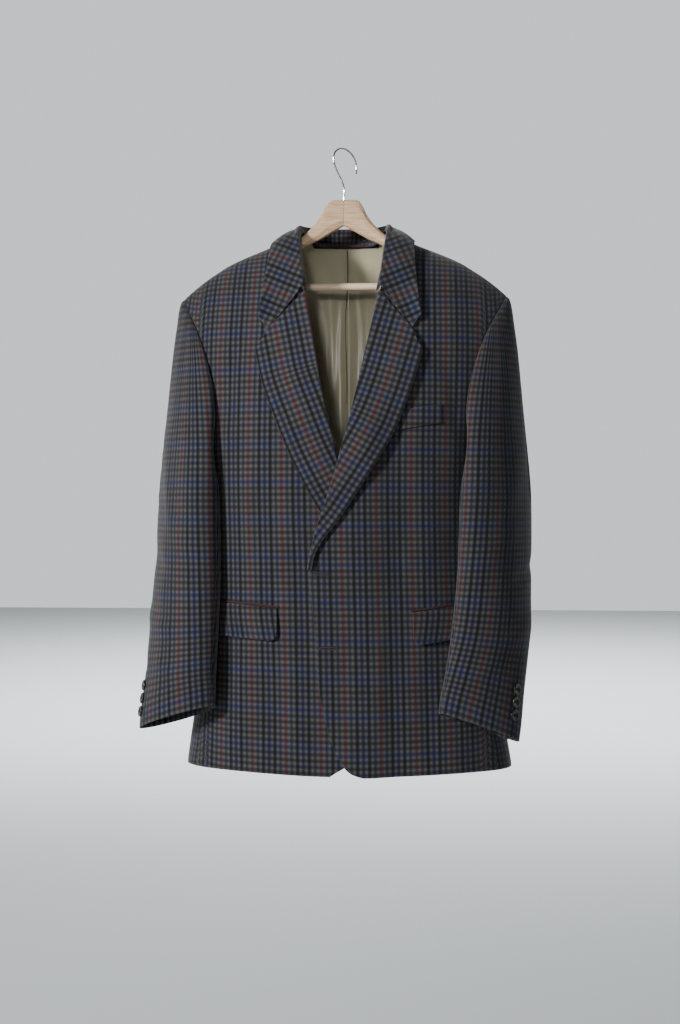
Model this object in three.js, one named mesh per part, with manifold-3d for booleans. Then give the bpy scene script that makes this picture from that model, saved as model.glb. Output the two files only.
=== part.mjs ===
// A two-button sport coat hanging open on a wooden coat hanger, in millimetres.
// +Z is up and the coat's front faces -Y. The wearer's left is on +X.
// The origin is the inner top of the hanger's wire hook, where a rail carries it.
import * as THREE from "three";
import Module from "manifold-3d";

const wasm = await Module();
wasm.setup();
const { Manifold, Mesh: SolidMesh } = wasm;

// Cloth thickness, seam gaps and the room between layers.
const CLOTH = 1.6;
const LINING = 1.0;
const SEAM = 0.35;
const LINING_INSET = 3;
const OVERLAP_LIFT = 8.5;
const SLEEVE_CLEARANCE = 6;

// Levels of the garment.
const HEM = -911;
const CHEST = -455;
const ARMHOLE_DIP = 12;
const NECK_X = 66;
const SHOULDER_X = 239;
const NECK_BACK = -131;
const RIDGE_FRONT = 320;
const RIDGE_BACK = 200;
const ROUNDNESS = 2.3;

// Angles around the body, from the front centre, of the two long seams of a side panel.
const SEAM_FRONT = (62 * Math.PI) / 180;
const SEAM_BACK = (112 * Math.PI) / 180;

// The body's ring at each level: half width, front depth, back depth and sideways shift.
const RINGS = [
  { z: -920, w: 241, front: 106, back: 87, shift: 7 },
  { z: -820, w: 226, front: 106, back: 84, shift: 6 },
  { z: -720, w: 212, front: 105, back: 81, shift: 4 },
  { z: -620, w: 204, front: 107, back: 80, shift: 2 },
  { z: -520, w: 203, front: 111, back: 84, shift: 0 },
  { z: -450, w: 208, front: 112, back: 88, shift: 0 },
  { z: -380, w: 219, front: 111, back: 91, shift: 0 },
  { z: -300, w: 239, front: 107, back: 92, shift: 0 },
  { z: -230, w: 256, front: 102, back: 91, shift: 0 },
  { z: -90, w: 258, front: 98, back: 90, shift: 0 },
];

// The shoulder line: its height over the distance from the centre.
const SHOULDER = [
  { x: 0, z: -100 },
  { x: 20, z: -102.5 },
  { x: 45, z: -113 },
  { x: 66, z: -124 },
  { x: 83, z: -132 },
  { x: 100, z: -140 },
  { x: 118, z: -147.5 },
  { x: 136, z: -154.5 },
  { x: 154, z: -162 },
  { x: 172, z: -170.5 },
  { x: 189, z: -181 },
  { x: 207, z: -193 },
  { x: 225, z: -207 },
  { x: 245, z: -225 },
];

// Inner edge of each front, lapel fold above and front edge below, towards its own side.
const EDGE_LEFT = [
  { z: -911, x: 28.6 },
  { z: -906, x: 14 },
  { z: -897, x: 3.4 },
  { z: -885, x: -4 },
  { z: -864, x: -13.5 },
  { z: -843, x: -20 },
  { z: -815, x: -26 },
  { z: -787, x: -31 },
  { z: -716, x: -35 },
  { z: -665, x: -38.5 },
  { z: -618, x: -41.5 },
  { z: -573, x: -31.5 },
  { z: -540, x: -21 },
  { z: -520, x: -14 },
  { z: -489, x: -3.5 },
  { z: -453, x: 6.2 },
  { z: -420, x: 15.2 },
  { z: -392, x: 22 },
  { z: -328, x: 36 },
  { z: -263, x: 50 },
  { z: -207, x: 59.5 },
  { z: -147, x: 64.5 },
  { z: -124, x: 66 },
];
const EDGE_RIGHT = [
  { z: -911, x: 18 },
  { z: -906, x: 11 },
  { z: -899, x: -1 },
  { z: -890, x: -12 },
  { z: -870, x: -25 },
  { z: -840, x: -33 },
  { z: -787, x: -36 },
  { z: -700, x: -32 },
  { z: -616, x: -28 },
  { z: -570, x: -21 },
  { z: -520, x: -10 },
  { z: -468, x: 1 },
  { z: -420, x: 11 },
  { z: -392, x: 18.5 },
  { z: -328, x: 31.5 },
  { z: -263, x: 43.5 },
  { z: -207, x: 54 },
  { z: -147, x: 63 },
  { z: -124, x: 66 },
];

// Armhole edge of the front and of the back, down to the chest level.
const ARMHOLE_FRONT = [
  { z: -455, x: 189.5 },
  { z: -430, x: 183 },
  { z: -385, x: 180 },
  { z: -330, x: 190 },
  { z: -280, x: 208 },
  { z: -245, x: 226 },
  { z: -219.5, x: 239 },
];
const ARMHOLE_BACK = [
  { z: -455, x: 197 },
  { z: -410, x: 195 },
  { z: -360, x: 198 },
  { z: -310, x: 208 },
  { z: -262, x: 224 },
  { z: -219.5, x: 239 },
];

// Sleeve sections: centre, half width seen from the front, inward lean of the front,
// depth centre and half depth, and how the level falls outward and backward.
const SLEEVE_LEFT = [
  { z: -841, cx: 199, half: 57, lean: -30, cy: -86, depth: 34, out: -0.3, rear: -0.25 },
  { z: -820, cx: 201.5, half: 57, lean: -30, cy: -83, depth: 37, out: -0.3, rear: -0.25 },
  { z: -780, cx: 207, half: 56, lean: -30, cy: -73, depth: 45, out: -0.2, rear: -0.15 },
  { z: -710, cx: 216, half: 56, lean: -30, cy: -55, depth: 55, out: -0.1, rear: 0 },
  { z: -627, cx: 221.5, half: 54, lean: -30, cy: -38, depth: 64, out: 0, rear: 0 },
  { z: -520, cx: 223.5, half: 53, lean: -30, cy: -24, depth: 74, out: 0, rear: 0 },
  { z: -440, cx: 223, half: 49, lean: -28, cy: -18, depth: 78, out: 0, rear: 0 },
];
const SLEEVE_RIGHT = [
  { z: -833, cx: 236, half: 58.5, lean: -30, cy: -76, depth: 35, out: -0.24, rear: -0.25 },
  { z: -812, cx: 235.5, half: 58.5, lean: -30, cy: -73, depth: 38, out: -0.24, rear: -0.25 },
  { z: -780, cx: 234, half: 57, lean: -30, cy: -66, depth: 46, out: -0.16, rear: -0.15 },
  { z: -710, cx: 231, half: 56, lean: -30, cy: -52, depth: 55, out: -0.08, rear: 0 },
  { z: -627, cx: 228.5, half: 55.5, lean: -30, cy: -36, depth: 64, out: 0, rear: 0 },
  { z: -520, cx: 226.5, half: 53.5, lean: -30, cy: -24, depth: 74, out: 0, rear: 0 },
  { z: -440, cx: 224, half: 50, lean: -28, cy: -18, depth: 78, out: 0, rear: 0 },
];
const SLEEVE_JOIN = -520;
// Reach of the cap's curve as it leaves the armhole, and the room it keeps beside the body.
const CAP_REACH = 62;
const CAP_ROOM = 2.4;
const CAP_TOP = -290;
// Turns of a sleeve's two seams, and how far the back one comes outward down to the cuff.
const SLEEVE_SEAMS = { front: -0.68, back: 2.98, shift: 0.85 };

// Outer edge of each lapel from its corner down to the top button level.
const LAPEL_LEFT = [
  { x: 118, z: -309 },
  { x: 107, z: -348 },
  { x: 93, z: -390 },
  { x: 77, z: -428 },
  { x: 46, z: -481 },
  { x: 4.5, z: -544 },
  { x: -21, z: -576 },
  { x: -33, z: -598 },
  { x: -37, z: -616 },
];
const LAPEL_RIGHT = [
  { x: 119, z: -306 },
  { x: 109, z: -349 },
  { x: 98, z: -380 },
  { x: 90, z: -400 },
  { x: 67.5, z: -455 },
  { x: 45, z: -500 },
  { x: 25, z: -535 },
  { x: 5, z: -568 },
  { x: -13, z: -595 },
  { x: -24, z: -612 },
];
const GORGE = -221;
const NOTCH = { x: 102, z: -274 };

// Half of the collar from the centre back to its front end: seam, fold and outer edge.
const COLLAR = [
  { sx: 0, sy: 50, sz: -130, fx: 0, fy: 55, fz: -109, ex: 0, ey: 74, ez: -158 },
  { sx: 24, sy: 46, sz: -125.5, fx: 25, fy: 51.5, fz: -109.5, ex: 34, ey: 72, ez: -158 },
  { sx: 45, sy: 33, sz: -120.5, fx: 45, fy: 39, fz: -110, ex: 68, ey: 60, ez: -156 },
  { sx: 58, sy: 15, sz: -120.5, fx: 59, fy: 19, fz: -111, ex: 94, ey: 33, ez: -146 },
  { sx: 62, sy: -4, sz: -125, fx: 64, fy: -2, fz: -113, ex: 105, ey: 0, ez: -137.5 },
  { sx: 62, sy: -20, sz: -136, fx: 64.5, fy: -20, fz: -121, ex: 106, ey: -32, ez: -146 },
  { sx: 60.5, sy: -38, sz: -152, fx: 63.5, fy: -40, fz: -139, ex: 108, ey: -55, ez: -176 },
  { sx: 57.5, sy: -58, sz: -184, fx: 60.5, fy: -61, fz: -170, ex: 112, ey: -72, ez: -217 },
  { sx: 51.5, sy: -75, sz: -219.5, fx: 56, fy: -79, fz: -215, ex: 117, ey: -82, ez: -254 },
];
// How much nearer the centre the right half's fold comes at the front.
const FOLD_SHIFT = 5;
const NOTCH_SHARE = 0.74;

// Pocket flaps and breast welt on the fronts: inner and outer ends, and their heights.
const FLAPS = {
  left: { inner: 102, outer: 186, topIn: -678, topOut: -666, drop: 47, round: 12 },
  right: { inner: 90, outer: 186, topIn: -673, topOut: -665, drop: 47, round: 12 },
};
const WELT = { inner: 60, outer: 145, topIn: -397, topOut: -383.5, drop: 27 };

// Hanger arm from the centre outward: upper and lower edge, depth and forward place.
const ARM = [
  { x: 0.2, top: -74, bottom: -113, depth: 14, y: 0 },
  { x: 12, top: -74, bottom: -119.5, depth: 15, y: 0 },
  { x: 22, top: -76, bottom: -125, depth: 15.5, y: 0 },
  { x: 28, top: -84, bottom: -128.5, depth: 15.5, y: 0 },
  { x: 34, top: -97, bottom: -132, depth: 15.5, y: 0 },
  { x: 41, top: -107, bottom: -135.5, depth: 15.5, y: 0 },
  { x: 49, top: -116, bottom: -139, depth: 15.5, y: -0.5 },
  { x: 60, top: -126.5, bottom: -144.5, depth: 16, y: -1 },
  { x: 67, top: -131, bottom: -148, depth: 16, y: -1 },
  { x: 90, top: -141.5, bottom: -160, depth: 18, y: -1.5 },
  { x: 120, top: -154.5, bottom: -175, depth: 20, y: -2 },
  { x: 150, top: -166.5, bottom: -189, depth: 22, y: -2.5 },
  { x: 180, top: -181.5, bottom: -205, depth: 23, y: -3 },
  { x: 205, top: -198, bottom: -219, depth: 23, y: -3 },
  { x: 218, top: -208.5, bottom: -225, depth: 20, y: -3 },
  { x: 222, top: -213, bottom: -224, depth: 14, y: -3 },
];
const BAR = { radius: 5, z: -203, reach: 181, y: -2 };

// Wire hook: distance along its plane and height of the wire's centre line.
const WIRE = 1.5;
const HOOK_TURN = (-47 * Math.PI) / 180;
const HOOK_LINE = [
  { s: 0, z: -92 },
  { s: 0, z: -70 },
  { s: 0, z: -58 },
  { s: -4, z: -47 },
  { s: -13, z: -35 },
  { s: -20, z: -22 },
  { s: -20, z: -10 },
  { s: -12.5, z: -1.5 },
  { s: 0, z: 1.5 },
  { s: 13, z: -2.5 },
  { s: 22, z: -12 },
  { s: 25, z: -24 },
  { s: 24, z: -33 },
];

const FRONT_BUTTON = { radius: 10, thick: 3.2, x: -7, levels: [-627, -737] };
const CUFF_BUTTON = {
  radius: 7.8,
  thick: 2.8,
  lift: 0.5,
  levels: [-779, -795, -811],
  turns: { left: 1.48, right: 1.75 },
};

const CLOTH_LOOK = { color: 0x4c504f, roughness: 0.95 };
const PIPING_LOOK = { color: 0x4a3634, roughness: 0.95 };
const LINING_LOOK = { color: 0x6f6a50, roughness: 0.45 };
const WOOD_LOOK = { color: 0xc79a63, roughness: 0.5 };
const WIRE_LOOK = { color: 0xb9b9b6, roughness: 0.25, metalness: 1 };
const BUTTON_LOOK = { color: 0x1d1916, roughness: 0.35 };

const coat = new THREE.Group();
coat.name = "sport_coat";

function add(name, geometry, look) {
  const mesh = new THREE.Mesh(geometry, new THREE.MeshStandardMaterial(look));
  mesh.name = name;
  coat.add(mesh);
}

const clamp = (value, low, high) => Math.min(high, Math.max(low, value));
const mix = (a, b, t) => a + (b - a) * t;
const smooth = (t) => {
  const u = clamp(t, 0, 1);
  return u * u * (3 - 2 * u);
};
const steps = (count) => Array.from({ length: count + 1 }, (_, i) => i / count);

// A smooth curve through the rows of a table, by one of its columns.
function column(rows, key, value) {
  const sorted = [...rows].sort((a, b) => a[key] - b[key]);
  const last = sorted.length - 1;
  const slopes = sorted.map((row, i) => {
    const before = sorted[Math.max(i - 1, 0)];
    const after = sorted[Math.min(i + 1, last)];
    return (after[value] - before[value]) / (after[key] - before[key]);
  });
  return (at) => {
    let i = 0;
    while (i < last - 1 && at > sorted[i + 1][key]) i += 1;
    const a = sorted[i];
    const b = sorted[i + 1];
    const span = b[key] - a[key];
    const t = clamp((at - a[key]) / span, 0, 1);
    const t2 = t * t;
    const t3 = t2 * t;
    return (
      (2 * t3 - 3 * t2 + 1) * a[value] +
      (t3 - 2 * t2 + t) * span * slopes[i] +
      (3 * t2 - 2 * t3) * b[value] +
      (t3 - t2) * span * slopes[i + 1]
    );
  };
}

// A smooth curve through all columns of a table, by the share of its length.
function path(rows, keys) {
  let length = 0;
  const marked = rows.map((row, i) => {
    if (i > 0) {
      const previous = rows[i - 1];
      length += Math.hypot(...keys.map((key) => row[key] - previous[key]));
    }
    return { ...row, along: length };
  });
  const curves = keys.map((key) => column(marked, "along", key));
  return (share) => curves.map((curve) => curve(share * length));
}

const halfWidth = column(RINGS, "z", "w");
const frontDepth = column(RINGS, "z", "front");
const backDepth = column(RINGS, "z", "back");
const sideShift = column(RINGS, "z", "shift");
const shoulderHeight = column(SHOULDER, "x", "z");

// How far the cloth has opened below the shoulder line, from 0 on it to 1, squared.
function opening2(drop, reach) {
  const rest = 1 - clamp(drop, 0, reach) / reach;
  return 1 - rest * rest;
}

// The body's outer face for a side (1 left, -1 right), an angle from the front and a level.
function bodyAt(side, angle, z) {
  const s = Math.sin(angle);
  const c = Math.cos(angle);
  const k = (Math.abs(s) ** ROUNDNESS + Math.abs(c) ** ROUNDNESS) ** (-1 / ROUNDNESS);
  const x = halfWidth(z) * k * s;
  const drop = shoulderHeight(Math.abs(x)) - z;
  const front = c > 0;
  const depth = front ? frontDepth(z) : backDepth(z);
  const open = Math.sqrt(opening2(drop, front ? RIDGE_FRONT : RIDGE_BACK));
  return new THREE.Vector3(side * x + sideShift(z), -depth * k * c * open, z);
}

// The angle at which the ring at a level has a given distance from the centre.
function angleAt(x, z, back) {
  const s = clamp(x / halfWidth(z), -1, 1);
  const c = (1 - Math.abs(s) ** ROUNDNESS) ** (1 / ROUNDNESS);
  return Math.atan2(s, back ? -c : c);
}

// The body as a level set: negative inside, with an even gradient over the shoulder line.
function bodyLevel(p) {
  const x = Math.abs(p.x - sideShift(p.z));
  const front = p.y < 0;
  const depth = front ? frontDepth(p.z) : backDepth(p.z);
  const drop = shoulderHeight(x) - p.z;
  const across = Math.max(0, 1 - (x / halfWidth(p.z)) ** ROUNDNESS) ** (2 / ROUNDNESS);
  const reach = front ? RIDGE_FRONT : RIDGE_BACK;
  const open = drop < 0 ? (2 * drop) / RIDGE_FRONT : opening2(drop, reach);
  return (p.y / depth) ** 2 - open * across;
}

function bodyNormal(p) {
  const h = 0.05;
  const gradient = ["x", "y", "z"].map((axis) => {
    const a = p.clone();
    const b = p.clone();
    a[axis] += h;
    b[axis] -= h;
    return bodyLevel(a) - bodyLevel(b);
  });
  return new THREE.Vector3(...gradient).normalize();
}

// Moves a point out of the body until it stands clear of the outer face.
function pushOut(p, clearance) {
  const x = p.x - sideShift(p.z);
  const depth = p.y < 0 ? frontDepth(p.z) : backDepth(p.z);
  const a = Math.abs(x) / (halfWidth(p.z) + clearance);
  const b = Math.abs(p.y) / (depth + clearance);
  const inside = a ** ROUNDNESS + b ** ROUNDNESS;
  if (inside >= 1) return p;
  const scale = Math.max(inside, 1e-6) ** (-1 / ROUNDNESS);
  return new THREE.Vector3(x * scale + sideShift(p.z), p.y * scale, p.z);
}

// A closed solid from triangles, turned so that its faces point outward.
function solid(points, faces) {
  let volume = 0;
  for (const [a, b, c] of faces) {
    volume += points[a].dot(new THREE.Vector3().crossVectors(points[b], points[c]));
  }
  const index = faces.flatMap(([a, b, c]) => (volume < 0 ? [a, c, b] : [a, b, c]));
  const geometry = new THREE.BufferGeometry().setFromPoints(points);
  geometry.setIndex(index);
  geometry.computeVertexNormals();
  return geometry;
}

// A thin closed sheet between two grids of points of the same size.
function sheet(outer, inner) {
  const rows = outer.length;
  const cols = outer[0].length;
  const points = [...outer.flat(), ...inner.flat()];
  const half = rows * cols;
  const faces = [];
  const quad = (a, b, c, d) => faces.push([a, b, c], [a, c, d]);
  for (let i = 0; i < rows - 1; i += 1) {
    for (let j = 0; j < cols - 1; j += 1) {
      const a = i * cols + j;
      quad(a, a + 1, a + cols + 1, a + cols);
      quad(a + half, a + cols + half, a + cols + 1 + half, a + 1 + half);
    }
  }
  for (let i = 0; i < rows - 1; i += 1) {
    const a = i * cols;
    const b = a + cols - 1;
    quad(a, a + cols, a + cols + half, a + half);
    quad(b, b + half, b + cols + half, b + cols);
  }
  for (let j = 0; j < cols - 1; j += 1) {
    const b = (rows - 1) * cols + j;
    quad(j, j + half, j + 1 + half, j + 1);
    quad(b, b + 1, b + 1 + half, b + half);
  }
  return solid(points, faces);
}

// Normals of a grid from its own neighbours.
function gridNormals(grid) {
  const rows = grid.length - 1;
  const cols = grid[0].length - 1;
  return grid.map((row, i) =>
    row.map((_, j) => {
      const down = grid[Math.min(i + 1, rows)][j].clone().sub(grid[Math.max(i - 1, 0)][j]);
      const across = row[Math.min(j + 1, cols)].clone().sub(row[Math.max(j - 1, 0)]);
      return new THREE.Vector3().crossVectors(across, down).normalize();
    }),
  );
}

function moved(grid, normals, distance) {
  return grid.map((row, i) =>
    row.map((p, j) => p.clone().addScaledVector(normals[i][j], distance)),
  );
}

// A closed tube through rings of points, with flat ends.
function tube(rings) {
  const count = rings[0].length;
  const points = rings.flat();
  const faces = [];
  for (let i = 0; i < rings.length - 1; i += 1) {
    for (let j = 0; j < count; j += 1) {
      const a = i * count + j;
      const b = i * count + ((j + 1) % count);
      faces.push([a, b, b + count], [a, b + count, a + count]);
    }
  }
  const last = (rings.length - 1) * count;
  for (let j = 1; j < count - 1; j += 1) {
    faces.push([0, j + 1, j], [last, last + j, last + j + 1]);
  }
  return solid(points, faces);
}

function toSolid(geometry) {
  return new Manifold(
    new SolidMesh({
      numProp: 3,
      vertProperties: new Float32Array(geometry.attributes.position.array),
      triVerts: new Uint32Array(geometry.index.array),
    }),
  );
}

function toGeometry(made) {
  const mesh = made.getMesh();
  const geometry = new THREE.BufferGeometry();
  const values = new Float32Array(mesh.vertProperties);
  geometry.setAttribute("position", new THREE.BufferAttribute(values, 3));
  geometry.setIndex(new THREE.BufferAttribute(new Uint32Array(mesh.triVerts), 1));
  geometry.computeVertexNormals();
  return geometry;
}

const edges = {
  left: column(EDGE_LEFT, "z", "x"),
  right: column(EDGE_RIGHT, "z", "x"),
};
const armholeFront = column(ARMHOLE_FRONT, "z", "x");
const armholeBack = column(ARMHOLE_BACK, "z", "x");

// Shares of the height from the shoulder line to the chest, close together near the line.
const UPPER = [0, 0.003, 0.012, 0.03, 0.06, 0.11, 0.18, 0.27, 0.38, 0.5, 0.62, 0.74, 0.87, 1];

// The level and place of an edge at a share of the way from the shoulder line to the chest.
function edgeAt(edge, share) {
  let x = edge(mix(-200, CHEST, share));
  let z = CHEST;
  for (let i = 0; i < 30; i += 1) {
    const top = shoulderHeight(Math.abs(x));
    z = mix(z, mix(top, CHEST, share), 0.6);
    x = edge(z);
  }
  return x;
}

// How far the left front stands off where it passes over the right one.
function overlapLift(x, z) {
  return OVERLAP_LIFT * smooth((85 - x) / 50) * smooth((-330 - z) / 110);
}

// The outer face of a front, at a place towards its own side.
function frontAt(side, x, z, out) {
  const p = bodyAt(side, angleAt(x, z, false), z);
  const lift = side > 0 ? overlapLift(x, z) : 0;
  return p.addScaledVector(bodyNormal(p), lift + out);
}

const LOWER_ROWS = [0.08, 0.17, 0.26, 0.36, 0.46, 0.56, 0.66, 0.76, 0.84, 0.9, 0.94, 0.97, 0.987, 1];
const FRONT_COLS = steps(9);

function frontGrid(side, out) {
  const edge = side > 0 ? edges.left : edges.right;
  const grid = UPPER.map((share) => {
    const from = share === 0 ? NECK_X : edgeAt(edge, share);
    const to = (share === 0 ? SHOULDER_X : edgeAt(armholeFront, share)) - SEAM;
    return FRONT_COLS.map((c) => {
      const x = mix(from, to, c);
      const z = mix(shoulderHeight(Math.abs(x)), CHEST, share);
      const p = frontAt(side, x, z, out);
      if (share === 0) p.y -= SEAM;
      return p;
    });
  });
  for (const share of LOWER_ROWS) {
    const z = mix(CHEST, HEM, share);
    const from = edge(z);
    const to = bodyAt(1, SEAM_FRONT, z).x - sideShift(z) - SEAM;
    grid.push(FRONT_COLS.map((c) => frontAt(side, mix(from, to, c), z, out)));
  }
  return grid;
}

function sideGrid(side, out) {
  const rows = [0, 0.1, 0.22, 0.35, 0.48, 0.6, 0.72, 0.84, 1];
  return rows.map((share) =>
    steps(6).map((c) => {
      const top = CHEST - SEAM - ARMHOLE_DIP * Math.sin(Math.PI * c);
      const z = mix(top, HEM, share);
      const pad = SEAM / 100;
      const p = bodyAt(side, mix(SEAM_FRONT + pad, SEAM_BACK - pad, c), z);
      return p.addScaledVector(bodyNormal(p), out);
    }),
  );
}

// Top of the back: the neck seam near the centre, the shoulder seam further out.
function backGrid(side, out, inset) {
  const cols = steps(8);
  const grid = UPPER.map((share) => {
    const outer = share === 0 ? SHOULDER_X : edgeAt(armholeBack, share);
    return cols.map((c) => {
      const x = mix(SEAM + inset * 0.1, outer - SEAM - inset, c);
      const neck = x < NECK_X ? Math.cos((x / NECK_X) * Math.PI * 0.5) ** 0.8 : 0;
      const top = mix(shoulderHeight(x), NECK_BACK, neck) - inset;
      const z = mix(top, CHEST, share);
      const p = bodyAt(side, angleAt(x, z, true), z);
      p.addScaledVector(bodyNormal(p), out);
      if (share === 0) p.y += SEAM;
      return p;
    });
  });
  for (const share of [0.12, 0.25, 0.38, 0.5, 0.62, 0.74, 0.87, 1]) {
    const z = mix(CHEST, HEM + inset * 6, share);
    const outer = bodyAt(1, SEAM_BACK, z).x - sideShift(z) - SEAM - inset;
    grid.push(
      cols.map((c) => {
        const p = bodyAt(side, angleAt(mix(SEAM + inset * 0.1, outer, c), z, true), z);
        return p.addScaledVector(bodyNormal(p), out);
      }),
    );
  }
  return grid;
}

// The armhole as a loop of points: down the front, under the arm and up the back.
function armholeLoop(side) {
  const loop = [];
  const put = (angle, z) => {
    const p = bodyAt(side, angle, z);
    const lift = SEAM + 2 * smooth((-300 - z) / 110);
    loop.push(p.addScaledVector(bodyNormal(p), lift));
  };
  for (const share of UPPER) {
    const x = (share === 0 ? SHOULDER_X : edgeAt(armholeFront, share)) + SEAM;
    const z = mix(shoulderHeight(x), CHEST, share);
    if (share > 0) put(angleAt(x, z, false), z);
    else loop.push(new THREE.Vector3(side * x, 0, z));
  }
  for (const c of steps(6).slice(1, -1)) {
    const z = CHEST + SEAM - ARMHOLE_DIP * Math.sin(Math.PI * c);
    put(mix(SEAM_FRONT, SEAM_BACK, c), z);
  }
  for (const share of UPPER.slice(1).reverse()) {
    const x = edgeAt(armholeBack, share) + SEAM;
    const z = mix(shoulderHeight(x), CHEST, share);
    put(angleAt(x, z, true), z);
  }
  return loop;
}

// The sleeve's section at a level, for a turn of 0 front, a quarter outward, a half back.
function sleeveSection(side, turn, z) {
  const rows = side > 0 ? SLEEVE_LEFT : SLEEVE_RIGHT;
  const at = (key) => column(rows, "z", key)(z);
  const lean = at("lean");
  const half = at("half");
  const across = Math.sqrt(half * half - lean * lean) * Math.sin(turn) + lean * Math.cos(turn);
  const back = -at("depth") * Math.cos(turn);
  const level = z + at("out") * across + at("rear") * back;
  const p = new THREE.Vector3(side * (at("cx") + across), at("cy") + back, level);
  return pushOut(p, SLEEVE_CLEARANCE);
}

// The turn at a level of a line that starts with a given turn above: the back seam comes
// outward towards the cuff, the front seam stays, and the lines between follow in part.
function seamTurn(turn, z) {
  const { front, back, shift } = SLEEVE_SEAMS;
  const round = turn < front ? turn + 2 * Math.PI : turn;
  const end = front + 2 * Math.PI;
  const share = round < back ? (round - front) / (back - front) : (end - round) / (end - back);
  return turn - shift * share * smooth((-600 - z) / 230);
}

const CAP_ROWS = [0, 0.06, 0.13, 0.21, 0.31, 0.42, 0.56, 0.7, 0.85];
const ARM_ROWS = [0, 0.12, 0.25, 0.38, 0.51, 0.64, 0.77, 0.9, 1];

function sleeveGrid(side) {
  const loop = armholeLoop(side);
  const count = loop.length;
  const bottom = side > 0 ? SLEEVE_LEFT[0].z : SLEEVE_RIGHT[0].z;
  // The turn runs from the top, forward and under the arm, and up the back.
  let length = 0;
  const lengths = loop.map((p, i) => {
    if (i > 0) length += p.distanceTo(loop[i - 1]);
    return length;
  });
  length += loop[count - 1].distanceTo(loop[0]);
  const turns = lengths.map((at) => Math.PI / 2 - (2 * Math.PI * at) / length);
  const columns = loop.map((start, i) => {
    const turn = turns[i];
    const end = sleeveSection(side, turn, SLEEVE_JOIN);
    const next = sleeveSection(side, turn, SLEEVE_JOIN - 20);
    const fall = end.clone().sub(next).multiplyScalar(-(start.z - end.z) / 20);
    const rise = Math.max(0, Math.sin(turn));
    const leave = new THREE.Vector3(
      side * (0.25 + 0.5 * rise),
      -0.9 * Math.cos(turn),
      -(0.35 + 0.35 * Math.abs(Math.sin(turn))),
    ).multiplyScalar(CAP_REACH);
    const cap = CAP_ROWS.map((t) => {
      const t2 = t * t;
      const t3 = t2 * t;
      const p = new THREE.Vector3()
        .addScaledVector(start, 2 * t3 - 3 * t2 + 1)
        .addScaledVector(leave, t3 - 2 * t2 + t)
        .addScaledVector(end, 3 * t2 - 2 * t3)
        .addScaledVector(fall, t3 - t2);
      if (t === 0 || p.z > CAP_TOP) return p;
      const room = SLEEVE_CLEARANCE * smooth((CHEST + 6 - p.z) / 45);
      return keepClear(p.z < CHEST ? pushOut(p, room) : p, CAP_ROOM);
    });
    const arm = ARM_ROWS.map((t) => {
      const z = mix(SLEEVE_JOIN, bottom, t);
      return sleeveSection(side, seamTurn(turn, z), z);
    });
    return [...cap, ...arm];
  });
  return columns[0].map((_, r) => columns.map((points) => points[r]));
}

// Columns from and up to which a grid is kept, turned past the end where needed.
function slice(grid, from, to) {
  const count = grid[0].length;
  return grid.map((row) => {
    const kept = [];
    for (let j = from; j <= to; j += 1) kept.push(row[j % count].clone());
    return kept;
  });
}

// Draws the long edges of a strip back from their seams.
function trim(grid, gap) {
  for (const row of grid) {
    const last = row.length - 1;
    const head = row[1].clone().sub(row[0]).normalize();
    const tail = row[last - 1].clone().sub(row[last]).normalize();
    row[0].addScaledVector(head, gap);
    row[last].addScaledVector(tail, gap);
  }
  return grid;
}

function addSleeve(side, name) {
  const grid = sleeveGrid(side);
  const count = grid[0].length;
  const around = grid.map((row) => [...row, row[0]]);
  const wrapped = grid.map((row) => [row[count - 1], ...row, row[0], row[1]]);
  const normals = gridNormals(wrapped).map((row) => row.slice(1, -1));
  const inward = moved(around, normals, side > 0 ? -CLOTH : CLOTH);
  const frontSeam = 12;
  const backSeam = count - 9;
  const topEnd = count + frontSeam;
  const under = [slice(around, frontSeam, backSeam), slice(inward, frontSeam, backSeam)];
  const ring = (rows) => rows.map((row) => row.slice(0, count));
  const top = [
    slice(ring(around), backSeam, topEnd),
    slice(ring(inward), backSeam, topEnd),
  ];
  add("topsleeve_" + name, sheet(trim(top[0], SEAM), trim(top[1], SEAM)), CLOTH_LOOK);
  add("undersleeve_" + name, sheet(trim(under[0], SEAM), trim(under[1], SEAM)), CLOTH_LOOK);
}

function addPanel(name, outer, inner, look) {
  add(name, sheet(outer, inner), look);
}

for (const [side, name] of [
  [1, "left"],
  [-1, "right"],
]) {
  addPanel("front_" + name, frontGrid(side, 0), frontGrid(side, -CLOTH), CLOTH_LOOK);
  addPanel("side_" + name, sideGrid(side, 0), sideGrid(side, -CLOTH), CLOTH_LOOK);
  addPanel("back_" + name, backGrid(side, 0, 0), backGrid(side, -CLOTH, 0), CLOTH_LOOK);
  addPanel(
    "lining_back_" + name,
    backGrid(side, -LINING_INSET, 3),
    backGrid(side, -LINING_INSET - LINING, 3),
    LINING_LOOK,
  );
}

addSleeve(1, "left");
addSleeve(-1, "right");

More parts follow.
